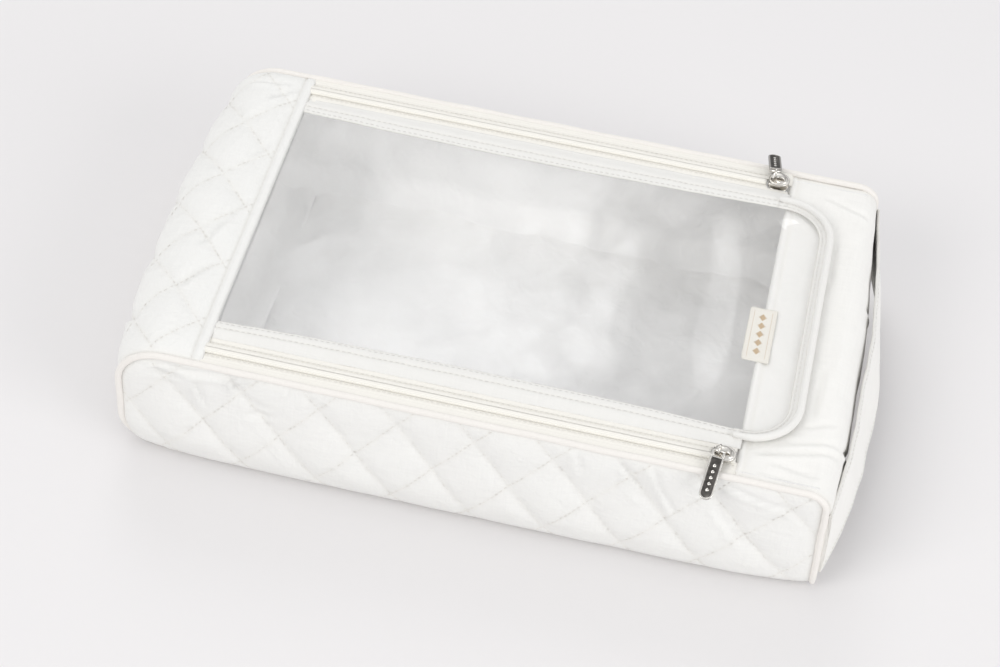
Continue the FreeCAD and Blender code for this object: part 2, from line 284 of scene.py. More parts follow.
def crease(a, b, creases, strength=1.5):
    """Depth of the pressed creases at a point of the cloth: a groove with a ridge beside it."""
    total = 0.0
    for (a0, b0), (a1, b1), depth in creases:
        da, db = a1 - a0, b1 - b0
        length = math.hypot(da, db)
        along = ((a - a0) * da + (b - b0) * db) / length
        if not -4 * CREASE_WIDTH < along < length + 4 * CREASE_WIDTH:
            continue
        off = ((a - a0) * db - (b - b0) * da) / length / CREASE_WIDTH
        if abs(off) > 5:
            continue
        fade = smooth(along / length * 3 + 0.5) * smooth((1 - along / length) * 3 + 0.5)
        total += strength * depth * fade * (0.75 * math.exp(-(off - 1.7) ** 2) - math.exp(-off * off))
    return total


def to_line(value):
    """How far a number is from the nearest whole number."""
    return abs(value - round(value))


class Quilting:
    """Diamond quilting over a flat cloth: two families of stitched lines."""

    def __init__(self, long, high, a0=0.0, b0=0.0, faint=1):
        self.long, self.high = long, high
        self.a0, self.b0 = a0, b0
        self.faint = faint                        # the family of lines that is pulled less tight
        self.gap = long * high / math.hypot(long, high)

    def phase(self, a, b):
        p, q = (a - self.a0) / self.long, (b - self.b0) / self.high
        return p + q, p - q

    def line_distance(self, a, b):
        first, second = self.phase(a, b)
        return to_line(first) * self.gap, to_line(second) * self.gap

    def shade(self, a, b):
        """Painted shade: 1 on a stitched line, fading close beside it."""
        return math.exp(-min(self.line_distance(a, b)) / LINE_SHADE)

    def height(self, a, b):
        """0 on a stitched line, nearing 1 in the middle of a diamond."""
        lines = self.line_distance(a, b)
        faint = 0.5 + 0.5 * rise(lines[self.faint], 0.0048)
        return rise(lines[1 - self.faint], 0.0048) * faint / 0.88

    def pucker(self, a, b):
        """Short gathers across the stitched lines."""
        first, second = self.line_distance(a, b)
        near = math.exp(-min(first, second) / 0.0050)
        across = (first if first < second else second) / 0.010
        return 0.0007 * near * ripple(a + across, b, 0.0052, 3.1)

    def lines(self, low, high, step):
        """Points along every stitched line in a rectangle, one list a line."""
        for family in (1, -1):
            reach = (high[0] - low[0]) / self.long + (high[1] - low[1]) / self.high
            for k in range(-math.ceil(reach) - 4, math.ceil(reach) + 5):
                run = []
                b = low[1]
                while b <= high[1]:
                    a = self.a0 + self.long * (k - family * (b - self.b0) / self.high)
                    if low[0] <= a <= high[0]:
                        run.append((a, b))
                    b += step * self.high / math.hypot(self.long, self.high)
                if len(run) > 2:
                    yield run


class Profile:
    """A run of straights and arcs in the XZ plane, read by its length."""

    def __init__(self, x, z, heading, hand):
        self.x, self.z, self.heading, self.hand = x, z, heading, hand
        self.parts = []
        self.length = 0.0

    def line(self, length):
        self.parts.append((self.length, self.x, self.z, self.heading, None))
        self.x += length * math.cos(self.heading)
        self.z += length * math.sin(self.heading)
        self.length += length
        return self

    def turn(self, radius, angle=math.pi / 2):
        self.parts.append((self.length, self.x, self.z, self.heading, radius))
        side = self.heading + self.hand * math.pi / 2
        cx, cz = self.x + radius * math.cos(side), self.z + radius * math.sin(side)
        self.heading += self.hand * angle
        side = self.heading + self.hand * math.pi / 2
        self.x, self.z = cx - radius * math.cos(side), cz - radius * math.sin(side)
        self.length += radius * angle
        return self

    def at(self, s):
        """Point and outward normal after a length s."""
        start, x, z, heading, radius = [p for p in self.parts if p[0] <= s + 1e-9][-1]
        s -= start
        if radius is None:
            x, z = x + s * math.cos(heading), z + s * math.sin(heading)
        else:
            side = heading + self.hand * math.pi / 2
            cx, cz = x + radius * math.cos(side), z + radius * math.sin(side)
            heading += self.hand * s / radius
            side = heading + self.hand * math.pi / 2
            x, z = cx - radius * math.cos(side), cz - radius * math.sin(side)
        out = heading - self.hand * math.pi / 2
        return Vector((x, 0, z)), Vector((math.cos(out), 0, math.sin(out)))


def settle(point):
    """The bag leans out a little at the foot of its right-hand end."""
    lean = 0.0034 * (1 - point.z / PLAIN_TOP) * smooth((point.x - 0.12) / 0.05)
    return point + Vector((lean, 0, 0))


# ---------------------------------------------------------------- mesh makers

def new_object(name, bm, *finishes):
    mesh = bpy.data.meshes.new(name)
    for face in bm.faces:
        face.smooth = True
    bm.to_mesh(mesh)
    bm.free()
    for finish in finishes:
        mesh.materials.append(material(finish))
    piece = bpy.data.objects.new(name, mesh)
    bpy.context.scene.collection.objects.link(piece)
    return piece


def cloth_grid(columns, rows):
    """A flat grid, with a layer for the place on the cloth and one for the painted shade at its
    seams.
    """
    bm = bmesh.new()
    bmesh.ops.create_grid(bm, x_segments=columns, y_segments=rows, size=0.5)
    return bm, bm.loops.layers.uv.new("cloth"), bm.verts.layers.float.new("seam")


def sheet(name, columns, rows, place, finish, thick, flip=False):
    """A grid of cloth. place(i, j) gives each point, its place on the flat cloth and its painted
    shade.
    """
    bm, flat, seam = cloth_grid(columns, rows)
    where = {}
    for vert in bm.verts:
        i, j = round((vert.co.x + 0.5) * columns), round((vert.co.y + 0.5) * rows)
        vert.co, where[vert.index], vert[seam] = place(i, j)
    for face in bm.faces:
        for loop in face.loops:
            loop[flat].uv = where[loop.vert.index]
    if flip:
        bmesh.ops.reverse_faces(bm, faces=bm.faces)
    piece = new_object(name, bm, finish)
    solid = piece.modifiers.new("thickness", "SOLIDIFY")
    solid.thickness = thick
    solid.offset = -1
    return piece


def loft(name, around, rows, place, finish):
    """A capped tube. place(k, j) gives step k round section j, its place on the cloth and painted
    shade.
    """
    bm, flat, seam = cloth_grid(around, rows)
    where = {}
    for vert in bm.verts:
        k, j = round((vert.co.x + 0.5) * around), round((vert.co.y + 0.5) * rows)
        vert.co, (step, along), vert[seam] = place(k % around, j)
        where[vert.index] = (step * k, along)
    for face in bm.faces:
        for loop in face.loops:
            loop[flat].uv = where[loop.vert.index]
    bmesh.ops.remove_doubles(bm, verts=bm.verts, dist=1e-6)
    rims = [edge for edge in bm.edges if edge.is_boundary]
    bmesh.ops.holes_fill(bm, edges=rims, sides=0)
    for edge in rims:
        edge.smooth = False
    bmesh.ops.recalc_face_normals(bm, faces=bm.faces)
    return new_object(name, bm, finish)


def tube(name, path, radius, across, finish):
    """A round cord along a flat path. across is the direction square to the path's plane."""
    around = 16
    lengths = [0.0]
    for a, b in zip(path, path[1:]):
        lengths.append(lengths[-1] + (b - a).length)

    def place(k, j):
        ahead = path[min(j + 1, len(path) - 1)] - path[max(j - 1, 0)]
        out = across.cross(ahead).normalized()
        angle = 2 * math.pi * k / around
        r = radius(lengths[j], lengths[-1])
        point = path[j] + r * (math.cos(angle) * out + math.sin(angle) * across)
        return point, (2 * math.pi * r / around, lengths[j]), 0.0

    return loft(name, around, len(path) - 1, place, finish)


def repeat(name, template, turns, finish):
    """The template's shape once for each matrix, gathered in batches to save time."""
    stub = bpy.data.meshes.new("stub")
    template.to_mesh(stub)
    template.free()
    bm = bmesh.new()
    for start in range(0, len(turns), BATCH):
        batch = bmesh.new()
        for turn in turns[start:start + BATCH]:
            copy = stub.copy()
            copy.transform(turn)
            batch.from_mesh(copy)
            bpy.data.meshes.remove(copy)
        gathered = bpy.data.meshes.new("batch")
        batch.to_mesh(gathered)
        batch.free()
        bm.from_mesh(gathered)
        bpy.data.meshes.remove(gathered)
    bpy.data.meshes.remove(stub)
    return new_object(name, bm, finish)


def stitch_turn(at, ahead, up, length, radius):
    """Matrix that lays a unit ball down as one short thread bowed out of the cloth."""
    side = up.cross(ahead).normalized()
    up = ahead.cross(side).normalized()
    turn = Matrix((side, ahead, up)).transposed().to_4x4()
    scale = Matrix.Diagonal((radius, length / 2, radius * 0.8, 1))
    return Matrix.Translation(at) @ turn @ scale


def thread_ball():
    ball = bmesh.new()
    bmesh.ops.create_uvsphere(ball, u_segments=6, v_segments=5, radius=1)
    return ball


def sew(name, runs, finish, length=0.0021, radius=0.00022, lift=0.00008):
    """Rows of stitches. Each run is a list of points and outward directions, a stitch at each."""
    turns = []
    for run in runs:
        for n, (at, up) in enumerate(run):
            before, after = run[max(n - 1, 0)][0], run[min(n + 1, len(run) - 1)][0]
            if (after - before).length > 1e-7:
                ahead = (after - before).normalized()
                turns.append(stitch_turn(at + up * lift, ahead, up, length, radius))
    return repeat(name, thread_ball(), turns, finish)


def surface_normal(surface, a, b, outward):
    """Direction square to a surface, numerically, turned to face outward."""
    step = 0.0015
    da = surface(a + step, b) - surface(a - step, b)
    db = surface(a, b + step) - surface(a, b - step)
    up = da.cross(db).normalized()
    return up if up.dot(outward) > 0 else -up


def belongs(piece, body, slot, *nodes):
    """The piece rides on a body and stands for CAD nodes, which it hides; slot is not used."""
    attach(piece, body)
    if nodes:
        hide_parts(*nodes)
    return piece


def bends(piece, slot, *nodes):
    """A piece held by the hem at one end and by the lid at the other: its place is baked into its
    mesh and the CAD nodes it stands for are hidden; slot is not used.
    """
    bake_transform(piece)
    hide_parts(*nodes)
    return piece


# ---------------------------------------------------------------- materials

EDGE_SHADE = 0.16                   # painted shade: how dark the plating is painted where it turns away from the view
SEAM_SHADE_TINT = (0.90, 0.86, 0.78)      # painted shade: cloth is painted warmer and darker down in its seams, where shade falls


class Graph:
    """Adds nodes to a node tree, one call a node."""

    def __init__(self, tree):
        self.tree = tree

    def feed(self, sockets, values):
        """Link or set sockets, each by its name or number."""
        for key, value in values.items():
            if isinstance(value, bpy.types.NodeSocket):
                self.tree.links.new(value, sockets[key])
            else:
                sockets[key].default_value = value

    def add(self, kind, values=None, **settings):
        node = self.tree.nodes.new(kind)
        for key, value in settings.items():
            setattr(node, key, value)
        self.feed(node.inputs, values or {})
        return node

    def maths(self, operation, a, b=0.0):
        return self.add("ShaderNodeMath", {0: a, 1: b}, operation=operation).outputs[0]

    def plus(self, start, value, factor):
        """start + value * factor"""
        return self.maths("ADD", start, self.maths("MULTIPLY", value, factor))

    def ramp(self, value, low, high):
        """0 at low, 1 at high."""
        values = {"Value": value, "From Min": low, "From Max": high}
        return self.add("ShaderNodeMapRange", values).outputs[0]

    def blend(self, factor, a, b):
        """Mix two colours."""
        return self.add("ShaderNodeMix", {0: factor, 6: a, 7: b}, data_type="RGBA").outputs[2]

    def on_cloth(self):
        """Place on the flat cloth."""
        return self.add("ShaderNodeUVMap", uv_map="cloth").outputs[0]

    def on_object(self):
        """Place in the piece's own space."""
        return self.add("ShaderNodeTexCoord").outputs["Object"]

    def stretch(self, vector, scale):
        return self.add("ShaderNodeMapping", {"Vector": vector, "Scale": scale}).outputs[0]

    def noise(self, vector, scale, detail, distortion=0.0):
        values = {"Vector": vector, "Scale": scale, "Detail": detail, "Distortion": distortion}
        return self.add("ShaderNodeTexNoise", values).outputs["Fac"]

    def wave(self, vector, scale, distortion, axis, detail=2.0):
        values = {"Vector": vector, "Scale": scale, "Distortion": distortion, "Detail": detail}
        return self.add("ShaderNodeTexWave", values, bands_direction=axis).outputs["Fac"]

    def bump(self, height, distance, strength=1.0, under=None):
        """Relief, on top of another relief if there is one."""
        values = {"Height": height, "Distance": distance, "Strength": strength}
        if under is not None:
            values["Normal"] = under
        return self.add("ShaderNodeBump", values).outputs[0]

    def seams(self, base, colour, depth):
        """Painted shade: another colour mixed in down in the seams, as far as depth."""
        seam = self.add("ShaderNodeAttribute", attribute_name="seam").outputs["Fac"]
        return self.blend(self.maths("MULTIPLY", seam, depth), base, colour)

    def shared(self, name, maker, values):
        """Outputs of a node group that several finishes share, made when first asked for."""
        tree = bpy.data.node_groups.get(name) or maker(name)
        return self.add("ShaderNodeGroup", values, node_tree=tree).outputs


def group(name, values, outputs):
    """A new node group: its graph, what it is given and what it hands on."""
    tree = bpy.data.node_groups.new(name, "ShaderNodeTree")
    tree.interface.new_socket("Vector", in_out="INPUT", socket_type="NodeSocketVector")
    for label, value in values.items():
        socket = tree.interface.new_socket(label, in_out="INPUT", socket_type="NodeSocketFloat")
        socket.default_value = value
    for label in outputs:
        tree.interface.new_socket(label, in_out="OUTPUT", socket_type="NodeSocketFloat")
    graph = Graph(tree)
    return graph, graph.add("NodeGroupInput").outputs, graph.add("NodeGroupOutput").inputs


def weave_group(name):
    """Plain weave: threads over and under, with slubs and fuzz."""
    graph, given, out = group(name, {"Threads": 600.0, "Slub": 0.35}, ("Height", "Tone"))
    flat = given["Vector"]
    bands = [graph.wave(flat, given["Threads"], 0.6, axis, detail=1.0) for axis in ("X", "Y")]
    over = graph.maths("MULTIPLY", *bands)
    under = graph.maths("MULTIPLY", *(graph.maths("SUBTRACT", 1.0, band) for band in bands))
    slub = graph.maths("ADD", *(graph.noise(graph.stretch(flat, scale), 1.0, 2.0)
                                for scale in ((70.0, 900.0, 1.0), (900.0, 70.0, 1.0))))
    cloth = graph.maths("MAXIMUM", over, under)
    graph.feed(out, {"Height": graph.plus(cloth, slub, given["Slub"]),
                     "Tone": graph.ramp(slub, 0.75, 1.25)})
    return graph.tree


def crumple_group(name):
    """Soft creases and dents of handled cloth, in two sizes, and patches where painted shade of loose
    folds goes.
    """
    graph, given, out = group(name, {"Size": 60.0}, ("Height", "Patches"))
    small = graph.maths("MULTIPLY", given["Size"], 3.7)
    large = graph.noise(given["Vector"], given["Size"], 3.0, 0.8)
    fine = graph.noise(given["Vector"], small, 4.0, 1.6)
    ridge = graph.maths("ABSOLUTE", graph.maths("SUBTRACT", large, 0.5))
    ridge = graph.maths("SUBTRACT", 0.5, ridge)
    graph.feed(out, {"Height": graph.plus(ridge, fine, 0.35),
                     "Patches": graph.ramp(large, 0.3, 0.7)})
    return graph.tree


def rubbed_group(name):
    """Fine hairline scratches and smudges on plated metal."""
    graph, given, out = group(name, {}, ("Scratches", "Smudges"))
    lines = graph.noise(graph.stretch(given["Vector"], (6000.0, 500.0, 6000.0)), 1.0, 3.0)
    cloud = graph.noise(given["Vector"], 420.0, 2.0)
    graph.feed(out, {"Scratches": graph.ramp(lines, 0.4, 0.7),
                     "Smudges": graph.ramp(cloud, 0.35, 0.65)})
    return graph.tree


def rgba(colour, factor=1.0):
    return tuple(clamp(c * factor) for c in colour) + (1.0,)


# Each of these adds its nodes and gives what goes into the shader's sockets

def woven_cloth(graph, colour, threads=620.0, crumple=46.0, dents=0.0014, weave=0.00006,
                seam_shade_depth=0.25, sheen=0.15, rough=0.78, fold_shade=0.0):
    """Woven cloth: thread relief, soft dents, painted shade down in its seams, and a sheen."""
    flat = graph.on_cloth()
    woven = graph.shared("Plain weave", weave_group, {"Vector": flat, "Threads": threads})
    soft = graph.shared("Crumple", crumple_group, {"Vector": flat, "Size": crumple})
    base = graph.blend(woven["Tone"], rgba(colour, 0.975), rgba(colour, 1.015))
    # painted shade: the patches darken the colour as far as asked, for shade in loose folds
    base = graph.blend(soft["Patches"], base, rgba(colour, 1.0 - fold_shade))
    # painted shade: a warmer, darker colour for down in the seams
    seam_shade_colour = [c * t for c, t in zip(colour, SEAM_SHADE_TINT)]
    dent = graph.bump(soft["Height"], dents, 0.8)
    return {
        "Base Color": graph.seams(base, rgba(seam_shade_colour), seam_shade_depth),
        "Roughness": graph.plus(rough - 0.06, woven["Tone"], 0.12),
        "Normal": graph.bump(woven["Height"], weave, 0.8, dent),
        "Sheen Weight": sheen, "Sheen Roughness": 0.45, "Specular IOR Level": 0.35,
    }


def sewing_thread(graph, colour):
    """Twisted sewing thread."""
    ply = graph.wave(graph.on_object(), 1300.0, 1.0, "DIAGONAL")
    return {"Base Color": graph.blend(ply, rgba(colour, 0.86), rgba(colour, 1.05)),
            "Normal": graph.bump(ply, 0.00004), "Roughness": 0.55, "Sheen Weight": 0.2}


def twill_tape(graph, colour):
    """Zip tape: close twill ribs along its length."""
    flat = graph.on_cloth()
    ribs = graph.wave(flat, 420.0, 0.4, "Y")
    picks = graph.wave(flat, 760.0, 0.8, "DIAGONAL")
    base = graph.blend(ribs, rgba(colour, 0.90), rgba(colour, 1.03))
    # painted shade: the tape is painted darker along its edges
    return {"Base Color": graph.seams(base, rgba(colour, 0.82), 0.6),
            "Normal": graph.bump(graph.plus(ribs, picks, 0.5), 0.00009, 0.9),
            "Roughness": 0.7, "Sheen Weight": 0.2}


def nylon(graph, colour):
    """Nylon monofilament, a little glossy."""
    cloud = graph.noise(graph.on_object(), 260.0, 2.0)
    return {"Base Color": graph.blend(cloud, rgba(colour, 0.9), rgba(colour, 1.1)),
            "Roughness": graph.plus(0.28, cloud, 0.15)}


def plated_metal(graph, colour, rough, contrast=0.85):
    """Plated die casting with hairlines and smudges, and painted shade where it turns away from the
    view.
    """
    worn = graph.shared("Rubbed metal", rubbed_group, {"Vector": graph.on_object()})
    base = graph.blend(worn["Smudges"], rgba(colour, contrast), rgba(colour))
    # painted shade: the plating's colour is darkened where its surface turns away from the view
    turned = graph.ramp(graph.add("ShaderNodeLayerWeight").outputs["Facing"], 0.30, 0.85)
    gloss = graph.plus(rough, worn["Scratches"], 0.10)
    return {"Base Color": graph.blend(turned, base, rgba(colour, EDGE_SHADE)),
            "Roughness": graph.plus(gloss, worn["Smudges"], 0.05),
            "Normal": graph.bump(worn["Scratches"], 0.000008), "Metallic": 1.0}


def clear_film(graph, tint):
    """Clear soft film: see-through with a faint haze, slow waves and handling marks."""
    flat = graph.on_cloth()
    waves = graph.noise(flat, 13.0, 1.0, 0.4)
    marks = graph.noise(flat, 120.0, 4.0, 1.2)
    path = graph.add("ShaderNodeLightPath").outputs
    soft = graph.maths("MAXIMUM", path["Is Shadow Ray"], path["Is Diffuse Ray"])
    return {"Base Color": rgba(tint), "Transmission Weight": 1.0, "IOR": 1.45,
            "Normal": graph.bump(waves, 0.0011, 0.5),
            "Roughness": graph.plus(0.05, graph.ramp(marks, 0.45, 0.75), 0.10),
            "Alpha": graph.maths("SUBTRACT", 1.0, graph.maths("MULTIPLY", soft, 0.97))}


def smooth_paper(graph, colour):
    """Smooth paper with a trace of tooth."""
    tooth = graph.noise(graph.on_object(), 300.0, 3.0)
    return {"Base Color": graph.blend(tooth, rgba(colour, 0.995), rgba(colour, 1.005)),
            "Roughness": 0.9, "Specular IOR Level": 0.1}


def recipes(scene):
    """For each finish, what makes it, its colour and what else it needs."""
    cloth, zips = scene.bag_cloth, scene.bag_zips
    return {
        "quilted cloth": (woven_cloth, cloth.cloth, {"seam_shade_depth": 0.16}),
        "plain cloth": (woven_cloth, cloth.plain, {"crumple": 30.0}),
        "border cloth": (woven_cloth, [0.95 * c for c in cloth.plain],
                         {"crumple": 75.0, "dents": 0.0004}),
        "piping cloth": (woven_cloth, cloth.cord, {"crumple": 150.0, "dents": 0.0002}),
        # the lining's patches are painted shade of its loose folds
        "lining cloth": (woven_cloth, cloth.lining,
                         {"threads": 900.0, "crumple": 24.0, "dents": 0.0030, "weave": 0.00003,
                          "sheen": 0.1, "rough": 0.5, "fold_shade": 0.16}),
        "label cloth": (woven_cloth, (0.86, 0.83, 0.76),
                        {"threads": 760.0, "crumple": 60.0, "dents": 0.0001, "weave": 0.00008}),
        "label pattern": (sewing_thread, cloth.motif, {}),
        "thread": (sewing_thread, cloth.thread, {}),
        "hem thread": (sewing_thread, [0.80 * c for c in cloth.thread], {}),
        "zip tape": (twill_tape, zips.tape, {}),
        "zip coil": (nylon, zips.coil, {}),
        "bright nickel": (plated_metal, zips.nickel, {"rough": 0.10}),
        "dark nickel": (plated_metal, zips.recess, {"rough": 0.26, "contrast": 0.6}),
        "clear film": (clear_film, scene.bag_lid.film, {}),
        "pale paper": (smooth_paper, scene.bag_stage.floor, {}),
    }


def material(name):
    """A named finish, made the first time it is asked for."""
    found = bpy.data.materials.get(name)
    if found:
        return found
    made = bpy.data.materials.new(name)
    made.use_nodes = True
    made.node_tree.nodes.clear()
    graph = Graph(made.node_tree)
    shader = graph.add("ShaderNodeBsdfPrincipled")
    graph.add("ShaderNodeOutputMaterial", {0: shader.outputs[0]})
    maker, colour, options = recipes(bpy.context.scene)[name]
    graph.feed(shader.inputs, maker(graph, colour, **options))
    return made


# ---------------------------------------------------------------- side panels

SIDE_LOW, SIDE_TOP = 0.0004, CORD_Z - SIDE_INSET
SIDE_LEFT, SIDE_RIGHT = -CORD_X + SIDE_INSET, CORD_X - SIDE_INSET
SIDE_CORNERS = {                                  # corner radii, by end and by foot or top
    (-1, 0): FOOT_ROUND_LEFT, (-1, 1): TOP_ROUND_LEFT - SIDE_INSET,
    (1, 0): FOOT_ROUND_RIGHT, (1, 1): TOP_ROUND_RIGHT - SIDE_INSET,
}


def side_end(end, z):
    """Where the panel ends at a height."""
    edge = SIDE_LEFT if end < 0 else SIDE_RIGHT
    foot, top = SIDE_CORNERS[end, 0], SIDE_CORNERS[end, 1]
    over = max(z - (SIDE_TOP - top), 0.0)
    under = max(SIDE_LOW + foot - z, 0.0)
    radius, depth = (top, over) if over else (foot, under)
    inset = radius - math.sqrt(max(radius * radius - depth * depth, 0.0))
    return edge - end * inset


def side_depth(x, z):
    """Distance in from the panel's sewn outline, its long lower edge left out."""
    end = -1 if x < 0 else 1
    edge = SIDE_LEFT if end < 0 else SIDE_RIGHT
    across = abs(edge - x)
    for at, radius in ((SIDE_TOP, SIDE_CORNERS[end, 1]), (SIDE_LOW, SIDE_CORNERS[end, 0])):
        up = abs(at - z)
        if across < radius and up < radius:
            return max(radius - math.hypot(radius - across, radius - up), 0.0)
    return min(across, SIDE_TOP - z)


def under_curl(z):
    """How far the cloth has turned in under the bag at a height."""
    left = max(SIDE_CURL - (z - SIDE_LOW), 0.0)
    return CURL_SHARE * (SIDE_CURL - math.sqrt(max(SIDE_CURL ** 2 - left ** 2, 0.0)))


def side_surface(side, x, z, cloth, quilting):
    """A point on the outer face of a long side panel."""
    depth = side_depth(x, z)
    tucked = rise(depth, 0.0038)
    bulge = cloth.side_bulge * math.exp(-((z - 0.018) / 0.027) ** 2)
    bulge *= 1 - (abs(x) / RIGHT) ** 6
    puff = cloth.puff * quilting.height(x, z) * rise(depth, 0.006) * smooth(z / 0.024)
    creases = FRONT_CREASES if side < 0 else BACK_CREASES
    soft = crease(x, z, creases) + quilting.pucker(x, z)
    soft += 0.0010 * ripple(x, z, 0.055, side) + 0.0004 * ripple(x, z, 0.014, 5 + side)
    soft *= rise(depth, 0.003) * smooth(z / 0.014)
    out = CORD_Y - SIDE_TUCK + 0.0012 * tucked + bulge + puff + soft - under_curl(z)
    return settle(Vector((x, side * out, z)))


def side_rows():
    """Heights of the grid's rows, closer together where the panel curls or rounds off."""
    low = [SIDE_LOW + SIDE_CURL * (1 - math.cos(a * math.pi / 16)) for a in range(8)]
    top = SIDE_CORNERS[-1, 1]
    start, end, count = low[-1], SIDE_TOP - top, 26
    middle = [start + (end - start) * n / count for n in range(1, count + 1)]
    high = [SIDE_TOP - top + top * math.sin(a * math.pi / 36) for a in range(1, 19)]
    return low + middle + high


def make_side_panel(name, side, cloth):
    quilting = Quilting(cloth.diamond_long, cloth.diamond_high, -0.0345, 0.013)
    heights = side_rows()
    columns = 260

    def surface(x, z):
        return side_surface(side, x, z, cloth, quilting)

    def place(i, j):
        z = heights[j]
        left, right = side_end(-1, z), side_end(1, z)
        x = left + (right - left) * i / columns
        # painted shade along the quilting lines and along the sewn outline
        seam = max(quilting.shade(x, z), math.exp(-side_depth(x, z) / 0.0016))
        return surface(x, z), (x, z), seam

    panel = sheet(f"{name}_side_panel_cloth", columns, len(heights) - 1, place,
                  "quilted cloth", thick=CLOTH_THICK, flip=side > 0)
    belongs(panel, "bag", "quilted_cloth", f"{name}_side_panel")
    out = Vector((0, side, 0))
    runs = [[(surface(x, z), surface_normal(surface, x, z, out)) for x, z in line
             if side_end(-1, z) < x < side_end(1, z) and side_depth(x, z) > 0.002]
            for line in quilting.lines((SIDE_LEFT, 0.005), (SIDE_RIGHT, SIDE_TOP), cloth.stitch)]
    thread = sew(f"{name}_side_quilting_thread", runs, "thread")
    belongs(thread, "bag", "quilted_cloth")


# ---------------------------------------------------------------- end pieces and base

def left_profile(inset=0.0):
    profile = Profile(HEM_LEFT, QUILT_TOP - inset, math.pi, 1)
    profile.line(HEM_LEFT - LEFT - TOP_ROUND_LEFT).turn(TOP_ROUND_LEFT - inset)
    profile.line(QUILT_TOP - TOP_ROUND_LEFT - FOOT_ROUND_LEFT).turn(FOOT_ROUND_LEFT - inset)
    return profile.line(FOOT_REACH)


def right_profile(inset=0.0):
    profile = Profile(HEM_RIGHT, PLAIN_TOP - inset, 0.0, -1)
    profile.line(RIGHT - HEM_RIGHT - TOP_ROUND_RIGHT).turn(TOP_ROUND_RIGHT - inset)
    profile.line(PLAIN_TOP - TOP_ROUND_RIGHT - FOOT_ROUND_RIGHT).turn(FOOT_ROUND_RIGHT - inset)
    return profile.line(FOOT_REACH)


def hem_shape(s, width, lift):
    """A turned hem: proud of the cloth up to its stitched line, then a groove."""
    fold = lift * (1 - smooth((s - width + 0.0006) / 0.0009))
    groove = -0.0008 * math.exp(-((s - width) / 0.0007) ** 2)
    edge = -0.0011 * math.exp(-s / 0.0006)
    return fold + groove + edge


def left_surface(s, y, cloth, profile, quilting):
    """A point on the quilted end piece, s round its profile from the hem and y across."""
    at, out = profile.at(s)
    depth = SEAM_Y - abs(y)
    tucked = 0.0022 * (rise(depth, 0.0035) - 1)
    swell = math.sin(math.pi * clamp((s - 0.018) / 0.078)) ** 2
    bulge = cloth.end_bulge * swell * (1 - (y / SEAM_Y) ** 2)
    from_hem = rise(s - 0.006, 0.004)
    floor = smooth((at.z - 0.001) / 0.012)
    puff = cloth.puff * quilting.height(y, s) * rise(depth, 0.006) * from_hem
    soft = crease(s, y, LEFT_CREASES) + quilting.pucker(y, s)
    soft += 0.0009 * ripple(s, y, 0.045, 1.7) + 0.0004 * ripple(s, y, 0.013, 4.4)
    soft *= rise(depth, 0.003) * from_hem
    rest = 0.0 if out.z > -0.5 else -0.3 * cloth.puff
    offset = tucked + bulge + (puff + soft) * floor + rest * (1 - floor)
    return at + out * (offset + hem_shape(s, WIDE_HEM, 0.0007)) + Vector((0, y, 0))


def right_surface(s, y, cloth, profile):
    """A point on the plain end piece, s round its profile from the hem and y across."""
    at, out = profile.at(s)
    depth = SEAM_Y - abs(y)
    tucked = 0.0008 * (rise(depth, 0.0030) - 1)
    swell = math.sin(math.pi * clamp((s - 0.034) / 0.074)) ** 2
    bulge = 1.1 * cloth.end_bulge * swell * (1 - ((y + 0.012) / (SEAM_Y + 0.012)) ** 2)
    floor = smooth((at.z - 0.001) / 0.012)
    soft = crease(s, y, PLAIN_CREASES) * rise(s - 0.004, 0.004)
    soft += 0.0006 * ripple(s, y, 0.035, 9.2) + 0.0004 * ripple(s, y, 0.012, 3.2) - 0.0003
    soft += 0.0014 * ripple(s, y, 0.050, 2.4) * smooth((s - 0.040) / 0.02) * (1 - (y / SEAM_Y) ** 2)
    sag = -0.0006 * math.sin(math.pi * clamp(s / 0.040)) * (1 - (y / SEAM_Y) ** 2)
    offset = tucked + bulge + soft * rise(depth, 0.003) * floor + sag
    return settle(at + out * (offset + hem_shape(s, NARROW_HEM, 0.0003)) + Vector((0, y, 0)))


def end_place(profile, down, across):
    """Place on an end piece, drawn in at its foot to follow the side panels under the bag."""
    s = profile.length * down
    half = SEAM_Y - under_curl(max(profile.at(s)[0].z, SIDE_LOW))
    return s, half * (2 * across - 1)


def end_shade(s, y, hem):
    """Painted shade along an end piece's side seams and along the stitches of its hem."""
    return max(math.exp(-(SEAM_Y - abs(y)) / 0.0015), math.exp(-abs(s - hem) / 0.0006))


def hem_stitches(surface, hem, cloth):
    """One row of stitches along a hem of that width."""
    return [(surface(hem, y), UP) for y in steps(-HEM_RUN, HEM_RUN, cloth.stitch)]


def make_left_end(cloth):
    profile = left_profile()
    quilting = Quilting(0.041, 0.036, 0.0, -0.027, faint=0)
    columns, rows = 150, 96

    def surface(s, y):
        return left_surface(s, y, cloth, profile, quilting)

    def place(i, j):
        s, y = end_place(profile, j / rows, i / columns)
        # painted shade along the quilting lines, the side seams and the hem's stitches
        seam = max(quilting.shade(y, s) * smooth((s - 0.005) / 0.003), end_shade(s, y, WIDE_HEM))
        return surface(s, y), (y, s), seam

    end = sheet("left_end_cloth", columns, rows, place, "quilted cloth", thick=CLOTH_THICK)
    belongs(end, "bag", "quilted_cloth", "left_end_piece")
    runs = [[(surface(s, y), surface_normal(surface, s, y, profile.at(s)[1])) for y, s in line
             if SEAM_Y - abs(y) > 0.002]
            for line in quilting.lines((-SEAM_Y, 0.007), (SEAM_Y, profile.length), cloth.stitch)]
    runs.append(hem_stitches(surface, WIDE_HEM, cloth))
    belongs(sew("left_end_thread", runs, "thread"), "bag", "quilted_cloth")


